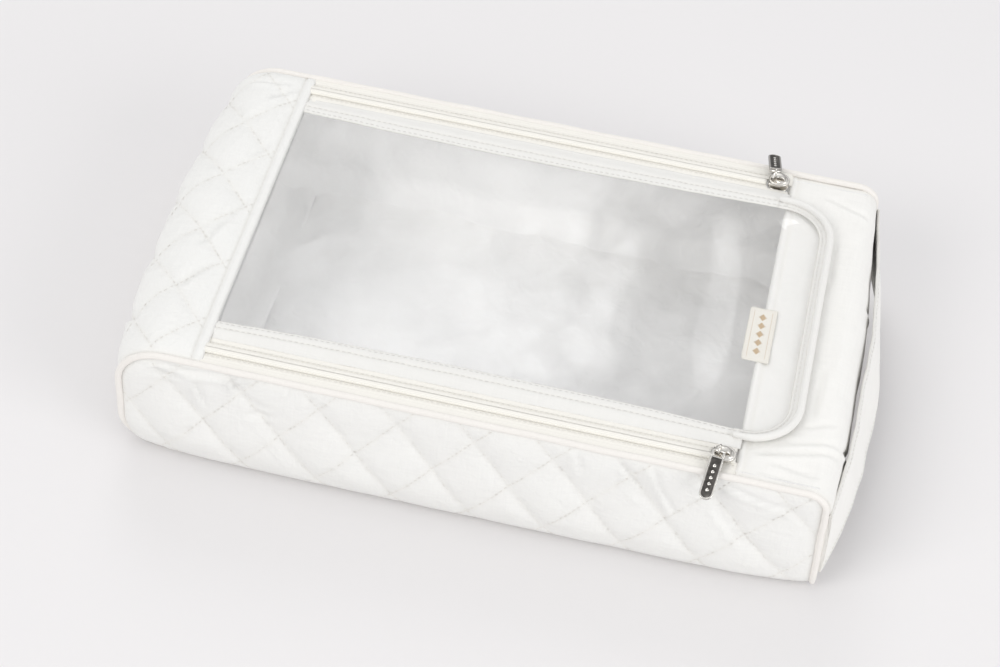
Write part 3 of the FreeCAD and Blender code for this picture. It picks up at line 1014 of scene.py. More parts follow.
def make_right_end(cloth):
    profile = right_profile()
    columns, rows = 150, 96

    def surface(s, y):
        return right_surface(s, y, cloth, profile)

    def place(i, j):
        s, y = end_place(profile, j / rows, i / columns)
        return surface(s, y), (y, s), end_shade(s, y, NARROW_HEM)

    end = sheet("right_end_cloth", columns, rows, place, "plain cloth",
                thick=CLOTH_THICK, flip=True)
    belongs(end, "bag", "plain_cloth", "right_end_piece")
    hem = hem_stitches(surface, NARROW_HEM, cloth)
    belongs(sew("right_end_thread", [hem], "thread"), "bag", "plain_cloth")


def make_base(cloth):
    low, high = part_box("base_panel")
    quilting = Quilting(cloth.diamond_long, cloth.diamond_high)
    half = CORD_Y - SIDE_TUCK - CURL_SHARE * SIDE_CURL + 0.0056
    columns, rows = 160, 104

    def surface(x, y):
        edge = rise(min(x - low.x, high.x - x), 0.003) * rise(half - abs(y), 0.003)
        relief = (1 - quilting.height(x, y) * edge) * 0.0013
        return settle(Vector((x, y, 0.0002 + relief + 0.0002 * ripple(x, y, 0.02))))

    def place(i, j):
        x = low.x + (high.x - low.x) * i / columns
        y = half * (2 * j / rows - 1)
        return surface(x, y), (x, y), quilting.shade(x, y)

    base = sheet("base_cloth", columns, rows, place, "quilted cloth",
                 thick=CLOTH_THICK, flip=True)
    belongs(base, "bag", "quilted_cloth", "base_panel")
    down = Vector((0, 0, -1))
    runs = [[(surface(x, y), down) for x, y in line]
            for line in quilting.lines((low.x, -half), (high.x, half), 2 * cloth.stitch)]
    thread = sew("base_thread", runs, "thread", length=0.004)
    belongs(thread, "bag", "quilted_cloth")


# ---------------------------------------------------------------- lining

SIDE_FILLET, END_FILLET = 0.016, 0.014            # where the walls' lining rounds into the floor's


def run_length(place, column, rows):
    """Length of the cloth along one column of a sheet."""
    points = [place(column, j)[0] for j in range(rows + 1)]
    return sum((b - a).length for a, b in zip(points, points[1:]))


def lining_swell(a, b, seed):
    """Loose folds of the lining, up to about a millimetre and a half either way."""
    folds = 0.0022 * ripple(a, b, 0.040, seed) + 0.0011 * ripple(a, b, 0.018, seed + 3)
    return folds + 0.0012 * (1 - abs(ripple(a, b * 0.6, 0.03, seed + 7)) * 3)


def make_linings():
    """Lining of the base, the two sides and the two ends."""
    finish = "lining cloth"
    low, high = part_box("base_lining")
    inner = SEAM_Y - LINING_INSET
    columns, rows = 150, 100

    def base_place(i, j):
        x = low.x + (high.x - low.x) * i / columns
        y = inner * (2 * j / rows - 1)
        inside = min(x - low.x, high.x - x)
        height = high.z + 0.0014 + lining_swell(x, y, 1.0) * rise(inner - abs(y), 0.01)
        height -= 0.0024 * (1 - smooth(inside / 0.014))
        return Vector((x, y, height)), (x, y), 0.0

    base = sheet("base_lining_cloth", columns, rows, base_place, finish, thick=LINING_THICK)
    belongs(base, "bag", "lining_cloth", "base_lining")

    for name, side in SIDES.items():
        heights = steps(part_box(f"{name}_side_lining")[0].z, TAPE_LOW.z - 0.0006, 0.0022)

        def side_place(i, j):
            z = heights[j]
            ends = [side_end(end, clamp(z, 0.004, 0.070)) - end * 0.0022 for end in (-1, 1)]
            x = ends[0] + (ends[1] - ends[0]) * i / columns
            fade = rise(min(heights[-1] - z, z - heights[0]), 0.008)
            y = inner - 0.0004 - lining_swell(x, z, side + 4) * fade
            y -= SIDE_FILLET * clamp(1 - (z - heights[0]) / SIDE_FILLET) ** 2.2
            return Vector((x, side * y, z)), (x, z), 0.0

        wall = sheet(f"{name}_side_lining_cloth", columns, len(heights) - 1, side_place,
                     finish, thick=LINING_THICK, flip=side < 0)
        belongs(wall, "bag", "lining_cloth", f"{name}_side_lining")
        cut = run_length(side_place, columns // 2, len(heights) - 1)

    for name, profile in (("left", left_profile(LINING_INSET)),
                          ("right", right_profile(LINING_INSET))):
        across, down = 110, 60

        def wall_place(i, j):
            s, y = profile.length * j / down, (inner + 0.0010) * (2 * i / across - 1)
            at, out = profile.at(s)
            swell = lining_swell(s, y, 8.0 + profile.hand) * rise(inner - abs(y), 0.008)
            swell *= rise(s, 0.01)
            fillet = END_FILLET * clamp(1 - (at.z - 0.004) / END_FILLET) ** 2.2
            point = at - out * (swell + 0.0009) + Vector((-math.copysign(fillet, at.x), y, 0))
            return point, (y, s), 0.0

        wall = sheet(f"{name}_end_lining_cloth", across, down, wall_place, finish,
                     thick=LINING_THICK, flip=profile.hand > 0)
        belongs(wall, "bag", "lining_cloth", f"{name}_end_lining")
        cut = run_length(wall_place, across // 2, down)


# ---------------------------------------------------------------- piping

def make_piping(name, side):
    """Corded piping round a long side panel, tucked in under the bag at both ends."""
    profile = Profile(FOOT_ROUND_LEFT - CORD_X, 0.0015, math.pi, -1).turn(FOOT_ROUND_LEFT)
    profile.line(CORD_Z - TOP_ROUND_LEFT - profile.z).turn(TOP_ROUND_LEFT)
    profile.line(2 * CORD_X - TOP_ROUND_LEFT - TOP_ROUND_RIGHT).turn(TOP_ROUND_RIGHT)
    profile.line(CORD_Z - TOP_ROUND_RIGHT - 0.0045)
    path = []
    for s in steps(0.0, profile.length, 0.0018):
        at, out = profile.at(s)
        ends = 2.2 * (1 - smooth((s - 0.004) / 0.034)) + math.exp(-(profile.length - s) / 0.003)
        y = side * (CORD_Y - 0.0016 * ends + 0.00035 * ripple(s, 0.0, 0.03, side))
        drop = out * 0.00035 * ripple(s, 1.0, 0.022, side)
        path.append(settle(at + drop + Vector((0, y, 0))))

    def radius(s, length):
        ends = 1 - smooth(s / 0.034) + math.exp(-(length - s) / 0.002)
        gather = 0.00006 * ripple(s, 0.0, 0.0035, 6.0) + 0.00008 * ripple(s, 0.0, 0.012, 2.0)
        return (CORD_R + gather) * (1 - 0.45 * clamp(ends))

    cord = tube(f"{name}_piping_cord", path, radius, ACROSS, "piping cloth")
    belongs(cord, "bag", "piping_cloth", f"{name}_piping")


# ---------------------------------------------------------------- zips

def make_tape(name, side, part, inner, outer, start, end, notch=None):
    """A length of zip tape with raised ribs. A notch cuts its outer corner back."""
    stops, rows = steps(start, end, 0.0016), 14

    def place(i, j):
        x = stops[i]
        far = notch[1] if notch and x > notch[0] else outer
        y = inner + (far - inner) * j / rows
        rib = 0.00010 * math.cos((y - inner) / 0.0011 * 2 * math.pi)
        edge = min(abs(y - inner), abs(far - y))
        height = TAPE_HIGH.z + rib * rise(edge, 0.0005) + 0.00012 * ripple(x, y, 0.02, side)
        height -= 0.0015 * smooth((x - HEM_RIGHT + 0.0012) / 0.0024)
        # the last value is painted shade along the tape's two edges
        return Vector((x, side * y, height)), (x, y), 1 - rise(edge, 0.0008)

    return sheet(f"{name}_{part}_tape_cloth", len(stops) - 1, rows, place,
                 "zip tape", thick=0.0005, flip=side < 0)


def make_coil(name, side, part, from_y, to_y, start, end, pitch, shift):
    """A run of coil turns, each a rounded bar leaning across the tape."""
    width, height = pitch * 0.62, 0.0013
    template = bmesh.new()
    bmesh.ops.create_cube(template, size=1)
    bmesh.ops.scale(template, vec=(width, abs(to_y - from_y), height * 0.92), verts=template.verts)
    round_edges(template, template.edges, width * 0.36, 1)
    lean = Matrix.Rotation(side * math.radians(9), 4, "Z")
    at = Vector((0, side * (from_y + to_y) / 2, COIL_LOW.z + height * 0.5))
    turns = []
    x = start + pitch / 2 + shift
    while x < end - pitch / 2:
        turns.append(Matrix.Translation(at + Vector((x, 0, 0))) @ lean)
        x += pitch
    return repeat(f"{name}_{part}_coil_turns", template, turns, "zip coil")


def make_cover(name, side, part, inner, outer, start, end):
    """The tape's edge folded over its coil: a low rounded ridge beside the opening line."""
    stops, rows = steps(start, end, 0.0016), 14
    peak = COIL_HIGH.z - TAPE_HIGH.z - 0.0003

    def place(i, j):
        x, share = stops[i], j / rows
        y = inner + (outer - inner) * share
        hump = math.sin(math.pi * (0.34 + 0.63 * share)) ** 0.55
        rib = 0.00007 * math.cos(share * 8 * math.pi)
        height = TAPE_HIGH.z + 0.0001 + peak * hump + rib + 0.00012 * ripple(x, y, 0.02, side)
        # the last value is painted shade along the opening line
        return Vector((x, side * y, height)), (x, y), math.exp(-share / 0.08)

    return sheet(f"{name}_{part}_coil_cover", len(stops) - 1, rows, place,
                 "zip tape", thick=0.0002, flip=side * (outer - inner) < 0)


def coil_seam(name, side, part, y, start, end, pitch):
    """The row of thread beside a coil's cover."""
    row = [(Vector((x, side * y, TAPE_HIGH.z + 0.0001)), UP) for x in steps(start, end, pitch * 2)]
    return sew(f"{name}_{part}_coil_thread", [row], "thread",
               length=pitch * 1.7, radius=0.00018)


def make_zip(name, side, zips):
    """Both tapes and coils of one zip."""
    pitch = zips.tooth_pitch
    start, end = HEM_LEFT - 0.0015, HEM_RIGHT - 0.0002
    body_tape = make_tape(name, side, "body", TAPE_LOW.y, TAPE_HIGH.y + 0.0008, start, end + 0.0016)
    belongs(body_tape, "bag", "zip_tape", f"{name}_body_tape")
    notch = (LID_COIL_HIGH.x, CHAIN_Y - 0.0050)
    lid_tape = make_tape(name, side, "lid", LID_TAPE_LOW.y, LID_TAPE_HIGH.y, start, end, notch)
    bends(lid_tape, "zip_tape", f"{name}_lid_tape", f"{name}_fold_tape")
    gap, brow = 0.00013, 0.0001                    # opening line, and the cover's outer hem
    body = make_coil(name, side, "body", CHAIN_Y + gap, COIL_HIGH.y, start, end, pitch, 0.0)
    belongs(body, "bag", "zip_coil", f"{name}_body_coil")
    lid = make_coil(name, side, "lid", LID_COIL_LOW.y, CHAIN_Y - gap, start,
                    LID_COIL_HIGH.x, pitch, pitch / 2)
    bends(lid, "zip_coil", f"{name}_lid_coil", f"{name}_fold_coil")
    cover = make_cover(name, side, "body", CHAIN_Y + gap, COIL_HIGH.y + brow, start, end)
    belongs(cover, "bag", "zip_tape")
    cover = make_cover(name, side, "lid", CHAIN_Y - gap, LID_COIL_LOW.y - brow, start,
                       LID_COIL_HIGH.x)
    bends(cover, "zip_tape")
    belongs(coil_seam(name, side, "body", COIL_HIGH.y + 0.0011, start, end, pitch),
            "bag", "zip_tape")
    sewn = coil_seam(name, side, "lid", LID_COIL_LOW.y - 0.0011, start, LID_COIL_HIGH.x, pitch)
    bends(sewn, "zip_tape")


# ---------------------------------------------------------------- lid

ROLL_R = (ROLL_HIGH.z - ROLL_LOW.z) / 2
ROLL_X, ROLL_Y = ROLL_HIGH.x - ROLL_R, ROLL_HIGH.y - ROLL_R
ROLL_ROUND = 0.025
ROLL_Z = ROLL_LOW.z + ROLL_R


def tongue_half(x, edge):
    """Half the width of the tongue at x, drawn in from the roll's middle by edge."""
    radius = ROLL_ROUND - edge
    over = max(x - (ROLL_X - ROLL_ROUND), 0.0)
    return ROLL_Y - edge - radius + math.sqrt(max(radius ** 2 - over ** 2, 0.0))


def make_film(lid):
    """The clear sheet from the hem to the roll, its tongue rounded off."""
    edge = 0.0015                                  # from the roll's middle line to the film's edge
    start, end = HEM_LEFT - 0.0015, ROLL_X - edge
    corner = ROLL_ROUND - edge
    bend = end - corner
    stops = steps(start, bend, 0.0030)[:-1]
    stops += [bend + corner * math.sin(a * math.pi / 40) for a in range(21)]
    columns = 70

    def place(i, j):
        x = stops[j]
        half = tongue_half(x, edge)
        y = half * (2 * i / columns - 1)
        inside = smooth((0.122 - x) / 0.03) * smooth((x - start) / 0.04)
        open_part = clamp(1 - (y / 0.078) ** 2)
        waves = ripple(x, y, 0.06, 4.0) + 0.5 * ripple(x, y, 0.025, 8.0)
        height = FILM_LOW.z + 0.0002 - lid.sag * inside * open_part
        height += lid.wave * inside * open_part * waves
        height += 0.0019 * math.exp(-((x - 0.141) / 0.010) ** 2 - ((y - 0.069) / 0.006) ** 2)
        return Vector((x, y, height)), (x, y), 0.0

    film = sheet("window_film_sheet", columns, len(stops) - 1, place, "clear film",
                 thick=0.0003)
    bends(film, "clear_film", "window_film", "fold_film")


BORDER_FOLD = 0.42                                 # where the seam runs, as a share of the width
BORDER_STITCH = 0.0017                             # from the inner edge to the other stitched row


def border_height(w, width):
    """Height of a border strip across its width: two soft tucks with a seam between."""
    groove = 0.0004 * math.exp(-((w - BORDER_FOLD * width) / 0.0006) ** 2)
    stitched = 0.00025 * math.exp(-((w - BORDER_STITCH) / 0.0006) ** 2)
    crown = 0.0008 * rise(w, 0.0007)
    return crown - groove - stitched - 0.0010 * smooth((w - 0.55 * width) / (0.4 * width))


def make_border(name, side, cloth):
    """Folded strip over the film's edge, with two stitched rows."""
    inner, outer = BORDER_LOW.y, BORDER_HIGH.y
    stops = steps(HEM_LEFT - 0.001, HEM_RIGHT + 0.001, 0.0018)
    rows = 26

    def edge(x):
        return inner - 0.0026 * (1 - (x / HEM_RIGHT) ** 2) + 0.0003 * ripple(x, side, 0.03)

    def surface(x, w, width):
        y = edge(x) + w
        height = BORDER_LOW.z + border_height(w, width)
        height += 0.00025 * ripple(x, y, 0.012, side) + 0.0002 * ripple(x * 2, y, 0.006, 2.0)
        return Vector((x, side * y, height))

    def place(i, j):
        x = stops[i]
        width = outer - edge(x)
        w = width * j / rows
        # painted shade in the groove of the seam and along the inner edge
        seam = max(math.exp(-abs(w - BORDER_FOLD * width) / 0.0005), math.exp(-w / 0.0004))
        return surface(x, w, width), (x, w), seam

    strip = sheet(f"{name}_lid_border_cloth", len(stops) - 1, rows, place,
                  "border cloth", thick=0.0004, flip=side < 0)
    bends(strip, "plain_cloth", f"{name}_lid_border", f"{name}_fold_border")
    runs = []
    for share, offset in ((0.0, BORDER_STITCH), (BORDER_FOLD, 0.0)):
        row = []
        for x in steps(HEM_LEFT + 0.002, HEM_RIGHT, cloth.stitch):
            width = outer - edge(x)
            row.append((surface(x, share * width + offset, width), UP))
        runs.append(row)
    thread = sew(f"{name}_lid_border_thread", runs, "hem thread")
    bends(thread, "plain_cloth")


def tongue_path(pitch):
    """Round the tongue from the front border to the back one, with the direction inward."""
    across = ROLL_Y - ROLL_ROUND
    lead = ROLL_X - ROLL_ROUND - (HEM_RIGHT - 0.004)
    outline = Profile(HEM_RIGHT - 0.004, -ROLL_Y, 0.0, 1).line(lead).turn(ROLL_ROUND)
    outline.line(2 * across).turn(ROLL_ROUND).line(lead)
    path = []
    for share in steps(0.0, 1.0, pitch / (2 * (ROLL_ROUND * math.pi / 2 + across) + 0.002)):
        at, out = outline.at(share * outline.length)
        path.append((Vector((at.x, at.z, ROLL_Z)), Vector((-out.x, -out.z, 0))))
    return path


def make_tongue_roll(cloth):
    """Padded roll round the tongue, and the flat flange sewn to the film inside it."""
    pitch = 0.0016
    spine = tongue_path(pitch)
    path = [at + Vector((0, 0, 0.00025 * ripple(at.x, at.y, 0.02))) for at, inward in spine]

    def radius(s, length):
        ends = math.exp(-s / 0.004) + math.exp(-(length - s) / 0.004)
        gather = 0.00008 * ripple(s, 0.0, 0.005, 1.0) + 0.00012 * ripple(s, 0.0, 0.02, 5.0)
        return (ROLL_R - 0.0002 + gather) * (1 - 0.4 * clamp(ends))

    roll = tube("lid_end_roll", path, radius, UP, "border cloth")
    belongs(roll, "lid", "plain_cloth", "lid_end_piping")

    width, rows, stitched = 0.0042, 9, 0.0026     # the flange, and where on it the stitches run

    def place(i, j):
        at, inward = spine[i]
        w = width * j / rows
        height = FILM_HIGH.z + 0.0007 * rise(width - w, 0.0006)
        height += 0.00015 * ripple(at.x, at.y, 0.006, 3.0)
        height -= 0.0003 * math.exp(-((w - stitched) / 0.0005) ** 2)
        point = at + inward * (0.0012 + w)
        # the last value is painted shade along the flange's inner edge, where it steps down to the
        # film
        return Vector((point.x, point.y, height)), (i * pitch, w), 1 - rise(width - w, 0.0006)

    flange = sheet("lid_end_flange", len(spine) - 1, rows, place, "border cloth",
                   thick=0.0004)
    belongs(flange, "lid", "plain_cloth")
    row = [(at + inward * 0.0038 + UP * (FILM_HIGH.z + 0.0005 - ROLL_Z), UP)
           for at, inward in tongue_path(cloth.stitch)]
    belongs(sew("lid_end_thread", [row], "thread"), "lid", "plain_cloth")


# ---------------------------------------------------------------- sliders

WING_NOSE, WING_HALF = 0.0010, 0.0046              # where a slider's wing is widest, and half of it
WING_TAIL, TAIL_HALF = -0.0055, 0.0039             # where its tail ends, and half its width there


def round_edges(bm, edges, offset, segments):
    """Bevel edges in a round."""
    bmesh.ops.bevel(bm, geom=edges, offset=offset, segments=segments, profile=0.5,
                    affect="EDGES", material=-1)


def wing_outline(bm, z):
    """A flat slider wing: a round nose drawn out to a narrower tail."""
    made = bmesh.ops.create_circle(bm, cap_ends=True, radius=WING_HALF, segments=36,
                                   matrix=Matrix.Translation((WING_NOSE, 0, z)))["verts"]
    widest = TAIL_HALF * 1.06
    for vert in made:
        back = WING_NOSE - vert.co.x
        if back > 0:
            share = back / WING_HALF
            vert.co.x = WING_NOSE - share * (WING_NOSE - WING_TAIL)
            squeeze = 1 - (1 - TAIL_HALF / WING_HALF) * smooth(share)
            square = math.sqrt(max(1 - share ** 6, 0.0)) / max(math.sqrt(1 - share ** 2), 0.15)
            vert.co.y *= squeeze * min(square, 4.0)
            if share > 0.7:
                vert.co.y = clamp(vert.co.y, -widest, widest)
    return made


def thicken(bm, outline, thick):
    """Raise a capped outline into a plate. Gives the vertices of its other face."""
    face = next(f for f in bm.faces if set(f.verts) == set(outline))
    grown = bmesh.ops.extrude_face_region(bm, geom=[face])["geom"]
    top = [v for v in grown if isinstance(v, bmesh.types.BMVert)]
    bmesh.ops.translate(bm, vec=(0, 0, thick), verts=top)
    return top


def add_wing(bm, z, thick):
    """A wing of the slider with rounded edges."""
    foot = wing_outline(bm, z)
    ends = foot + thicken(bm, foot, thick)
    rims = [e for e in bm.edges if len(e.link_faces) == 2 and e.calc_face_angle(0) > 1.0
            and e.verts[0] in ends]
    round_edges(bm, rims, 0.0004, 3)


def bar(bm, size, at, bevel):
    """A rounded block."""
    made = bmesh.ops.create_cube(bm, size=1)["verts"]
    bmesh.ops.scale(bm, vec=size, verts=made)
    bmesh.ops.translate(bm, vec=at, verts=made)
    round_edges(bm, list({e for v in made for e in v.link_edges}), bevel, 2)


def set_down(bm, at, side):
    """Mirror a shape made for the front side if need be, and move it to its place."""
    bmesh.ops.scale(bm, vec=(1, -side, 1), verts=bm.verts)
    bmesh.ops.translate(bm, vec=at, verts=bm.verts)
    bmesh.ops.recalc_face_normals(bm, faces=bm.faces)


def make_slider(name, side):
    """Slider casting: two wings, a neck and side flanges, with its crown."""
    low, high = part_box(f"{name}_slider_body")
    at = Vector((low.x - WING_TAIL, side * CHAIN_Y, 0))
    wing = 0.0012
    bm = bmesh.new()
    for z in (high.z - wing, low.z):
        add_wing(bm, z, wing)
    bar(bm, (0.0042, 0.00018, high.z - low.z - 0.001), (0.0030, 0, (low.z + high.z) / 2), 0.00004)
    for edge in (-1, 1):
        bar(bm, (0.0066, 0.0006, 0.0016), (-0.0020, edge * 0.0037, high.z - wing - 0.0005), 0.00015)
    dome = bmesh.ops.create_uvsphere(bm, u_segments=20, v_segments=10, radius=1)["verts"]
    bmesh.ops.scale(bm, vec=(0.0038, 0.0033, 0.0011), verts=dome)
    bmesh.ops.translate(bm, vec=(WING_NOSE, 0, high.z - 0.0002), verts=dome)
    set_down(bm, at, side)
    belongs(new_object(f"{name}_slider_casting", bm, "bright nickel"),
            f"{name}_slider", "nickel", f"{name}_slider_body")

    crown_low, crown_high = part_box(f"{name}_slider_crown")
    middle, reach = (crown_low.x + crown_high.x) / 2, (crown_high.x - crown_low.x) / 2 - 0.0005
    around, along = 12, 24
    path = []
    for n in range(along + 1):
        angle = math.pi * n / along
        flat = math.copysign(abs(math.cos(angle)) ** 0.75, math.cos(angle))
        x = middle - flat * reach
        z = crown_low.z - 0.0003 + (crown_high.z - crown_low.z - 0.0002) * math.sin(angle) ** 0.85
        path.append(Vector((x, side * CHAIN_Y, z)))

    def place(k, j):
        ahead = path[min(j + 1, along)] - path[max(j - 1, 0)]
        out = ACROSS.cross(ahead).normalized()
        angle = 2 * math.pi * k / around
        wide, thick = 0.0017 + 0.0002 * abs(2 * j / along - 1), 0.00048
        offset = Vector((0, wide * math.sin(angle), 0)) + out * thick * math.cos(angle)
        return path[j] + offset, (0.0003, j * 0.0005), 0.0

    crown = loft(f"{name}_slider_crown_strap", around, along, place, "bright nickel")
    belongs(crown, f"{name}_slider", "nickel", f"{name}_slider_crown")


def pull_frame(name, side):
    """Turns a shape drawn at the origin, pointing along -Y, to how the pull hangs."""
    joints = {j["name"]: j for j in frame["joints"]}
    ring, tag = joints[f"{name}_ring_swing"], joints[f"{name}_pull_swing"]
    across = Vector(tag["axis"]) * side
    yaw = Matrix.Rotation(math.atan2(across.y, across.x), 4, "Z")
    mirror = Matrix.Diagonal((1, -side, 1, 1))
    return (Matrix.Translation(ring["pos_m"]) @ yaw @ mirror,
            Matrix.Translation(tag["pos_m"]) @ yaw @ mirror)


def make_ring(name, side):
    """Wire ring between the crown and the tag."""
    hang = pull_frame(name, side)[0]
    bm = bmesh.new()
    centre, radius, wire = -0.00105, 0.0022, 0.0005
    made = bmesh.ops.create_circle(bm, segments=14, radius=wire,
                                   matrix=Matrix.Translation((0, centre + radius, 0)))["verts"]
    geometry = made + list({e for v in made for e in v.link_edges})
    bmesh.ops.spin(bm, geom=geometry, cent=(0, centre, 0), axis=(1, 0, 0),
                   angle=2 * math.pi, steps=36, use_merge=True)
    bm.transform(hang)
    bmesh.ops.remove_doubles(bm, verts=bm.verts, dist=1e-6)
    bmesh.ops.recalc_face_normals(bm, faces=bm.faces)
    belongs(new_object(f"{name}_link_ring_wire", bm, "bright nickel"),
            f"{name}_ring", "nickel", f"{name}_link_ring")


TAG_LONG, TAG_WIDE, TAG_THICK, TAG_EYE = 0.0250, 0.0068, 0.0013, 0.0029
TAG_DROOP = math.radians(24)


def make_tag(name, side):
    """Pull tag: rounded plate with a bright rim round a dark recess on both faces."""
    hang = pull_frame(name, side)[1]
    bm = bmesh.new()
    half = TAG_WIDE / 2
    outline = bmesh.ops.create_circle(bm, cap_ends=True, radius=half, segments=48)["verts"]
    middle = -(TAG_EYE + TAG_LONG) / 2
    stretch = (TAG_LONG - TAG_EYE) / 2 - half
    for vert in outline:
        vert.co.z = -TAG_THICK / 2
        if vert.co.y < -1e-6:                      # the far end stays round, the eye's end is squarer
            vert.co.y += middle - stretch
            continue
        share = clamp(vert.co.y / half)
        vert.co.x = math.copysign(half * (1 - share ** 8) ** 0.125, vert.co.x) if share < 1 else 0.0
        vert.co.y = middle + stretch + half * share
    thicken(bm, outline, TAG_THICK)
    bmesh.ops.recalc_face_normals(bm, faces=bm.faces)
    faces = [f for f in bm.faces if abs(f.normal.z) > 0.9]
    for flat in faces:
        bmesh.ops.inset_region(bm, faces=[flat], thickness=0.0008, use_even_offset=True)
        flat.material_index = 1
        bmesh.ops.inset_region(bm, faces=[flat], thickness=0.0002, depth=-0.00032,
                               use_even_offset=True)
        flat.material_index = 1
    round_edges(bm, [e for e in bm.edges if e.calc_face_angle(0) > 1.2], 0.00022, 2)
    studs, apart = 5, 0.0031
    for n in range(studs):
        for facing in (-1, 1):
            stud = bmesh.ops.create_cone(
                bm, cap_ends=True, segments=4, radius1=0.00115, radius2=0.0009, depth=0.0003,
                matrix=Matrix.Diagonal((1, 1, facing, 1)))["verts"]
            spot = (0, middle + (n - studs // 2) * apart, facing * (TAG_THICK / 2 - 0.0002))
            bmesh.ops.translate(bm, vec=spot, verts=stud)
    for edge in (-1, 1):
        bar(bm, (0.0013, TAG_EYE + 0.0006, 0.0010),
            (edge * (half - 0.00075), -(TAG_EYE + 0.0004) / 2, 0), 0.0003)
    rod = 0.00052                                  # the bar that the ring holds
    bmesh.ops.create_cone(bm, cap_ends=True, segments=16, radius1=rod, radius2=rod,
                          depth=TAG_WIDE * 0.94, matrix=Matrix.Rotation(math.pi / 2, 4, "Y"))
    bm.transform(hang @ Matrix.Rotation(TAG_DROOP, 4, "X"))
    bmesh.ops.recalc_face_normals(bm, faces=bm.faces)
    tag = new_object(f"{name}_pull_tag_plate", bm, "bright nickel", "dark nickel")
    belongs(tag, f"{name}_pull", "dark_nickel", f"{name}_pull_tag")


# ---------------------------------------------------------------- carrying band and label

def band_centre(y):
    """Middle line of the band across the end, sewn in flat at both sides."""
    high, low = BAND_HIGH.x - 0.0013, TAB_LOW.x + 0.0007
    share = clamp(1 - (abs(y) / TAB_HIGH.y) ** 2.2)
    return low + (high - low) * share


def make_band_half(name, side, cloth):
    """Half of the carrying band, from its sewn end to the middle."""
    thick, tall = 0.0011, (BAND_HIGH.z - BAND_LOW.z) / 2
    stitched = 0.0035                              # from the band's edge to its topstitching
    middle = (BAND_HIGH.z + BAND_LOW.z) / 2
    ys = steps(TAB_HIGH.y, 0.0, 0.0022)
    around = 64

    def wobble(y, z):
        sewn = rise(TAB_HIGH.y - abs(y), 0.02)
        waves = 0.0016 * ripple(side * y, z, 0.045, 3.0)
        return sewn * (waves + 0.0008 * ripple(side * y, z, 0.016, 6.0))

    def surface(y, out, up):
        topstitch = math.exp(-((tall - abs(up) - stitched) / 0.0008) ** 2)
        out -= math.copysign(0.00035 * topstitch, out)
        z = middle + up + 0.0008 * ripple(side * y, 0.0, 0.04, 1.0) * up / tall
        lean = 0.0042 * up / tall * rise(TAB_HIGH.y - abs(y), 0.03)
        return settle(Vector((band_centre(y) + out + wobble(y, z) - lean, side * y, z)))

    def place(k, j):
        angle = 2 * math.pi * k / around
        c, s = math.cos(angle), math.sin(angle)
        up = math.copysign(abs(s) ** 0.35, s) * tall
        out = math.copysign(abs(c) ** 0.55, c) * thick
        # painted shade along the topstitching, at the sewn end and round the band's top and bottom
        # edges
        seam = max(math.exp(-abs(tall - abs(up) - stitched) / 0.0005),
                   math.exp(-(TAB_HIGH.y - ys[j]) / 0.0015),
                   0.8 * math.exp(-(tall - abs(up)) / 0.0004))
        return surface(ys[j], out, up), (0.0014, ys[j]), seam

    half = loft(f"{name}_band_half", around, len(ys) - 1, place, "plain cloth")
    runs = []
    for up in (tall - stitched, stitched - tall):
        for out in (thick, -thick):
            runs.append([(surface(y, out, up), Vector((math.copysign(1, out), 0, 0)))
                         for y in steps(TAB_HIGH.y - 0.002, 0.001, cloth.stitch)])
    thread = sew(f"{name}_band_thread", runs, "thread")
    for piece in (half, thread):
        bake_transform(piece)
    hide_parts("carry_band", f"{name}_band_tab")


def make_label():
    """Woven label folded over the hem, with a plain row of diamonds."""
    low, high = LABEL_LOW, LABEL_HIGH
    columns, rows = 24, 56
    corner = 0.0016

    def inside(x, y):
        return min(x - low.x, high.x - x, y - low.y, high.y - y)

    def surface(x, y):
        lift = 0.00014 * ripple(x, y, 0.012, 2.0) + 0.00035 * rise(inside(x, y), 0.0005)
        return Vector((x, y, low.z + 0.0003 + lift))

    def place(i, j):
        x = low.x + (high.x - low.x) * i / columns
        y = low.y + (high.y - low.y) * j / rows
        point = surface(x, y)
        for end, sign in ((low.y, 1), (high.y, -1)):
            centre = Vector((low.x + corner, end + sign * corner, 0))
            off = Vector((x, y, 0)) - centre
            if off.x < 0 and off.y * sign < 0 and off.length > corner:
                moved = centre + off.normalized() * corner
                point.x, point.y = moved.x, moved.y
        # the last value is painted shade along a line just inside the label's edge
        return point, (x, y), math.exp(-abs(inside(x, y) - 0.0009) / 0.0003)

    tab = sheet("woven_label_tab", columns, rows, place, "label cloth", thick=0.0004)
    belongs(tab, "bag", "label_weave", "woven_label")
    turns = []
    middle_x = (low.x + high.x) / 2
    count, pitch = 5, 0.0058
    for n in range(count):
        y = (low.y + high.y) / 2 + (n - (count - 1) / 2) * pitch
        for row in range(-5, 6):
            half = 0.0025 * (1 - abs(row) / 6)
            at = surface(middle_x, y + row * 0.00040)
            turns.append(stitch_turn(at, Vector((1, 0, 0)), UP, 2 * half, 0.00022))
    for x in (low.x + 0.0024, high.x - 0.0024):
        for y in steps(low.y + 0.003, high.y - 0.003, 0.0013):
            turns.append(stitch_turn(surface(x, y), ACROSS, UP, 0.0011, 0.00016))
    pattern = repeat("woven_label_pattern", thread_ball(), turns, "label pattern")
    belongs(pattern, "bag", "label_weave")


# ---------------------------------------------------------------- stage

def aim(settings):
    """Where the camera stands, and how it is turned."""
    a, e, r = settings.azimuth, settings.elevation, settings.roll
    back = Vector((math.sin(a) * math.cos(e), -math.cos(a) * math.cos(e), math.sin(e)))
    right = Vector((math.cos(a), math.sin(a), 0))
    up = back.cross(right)
    turned = Matrix((right * math.cos(r) + up * math.sin(r),
                     up * math.cos(r) - right * math.sin(r), back)).transposed()
    target = Vector((-0.00174, -0.01308, 0.035))
    return Matrix.Translation(target + back * settings.distance) @ turned.to_4x4()


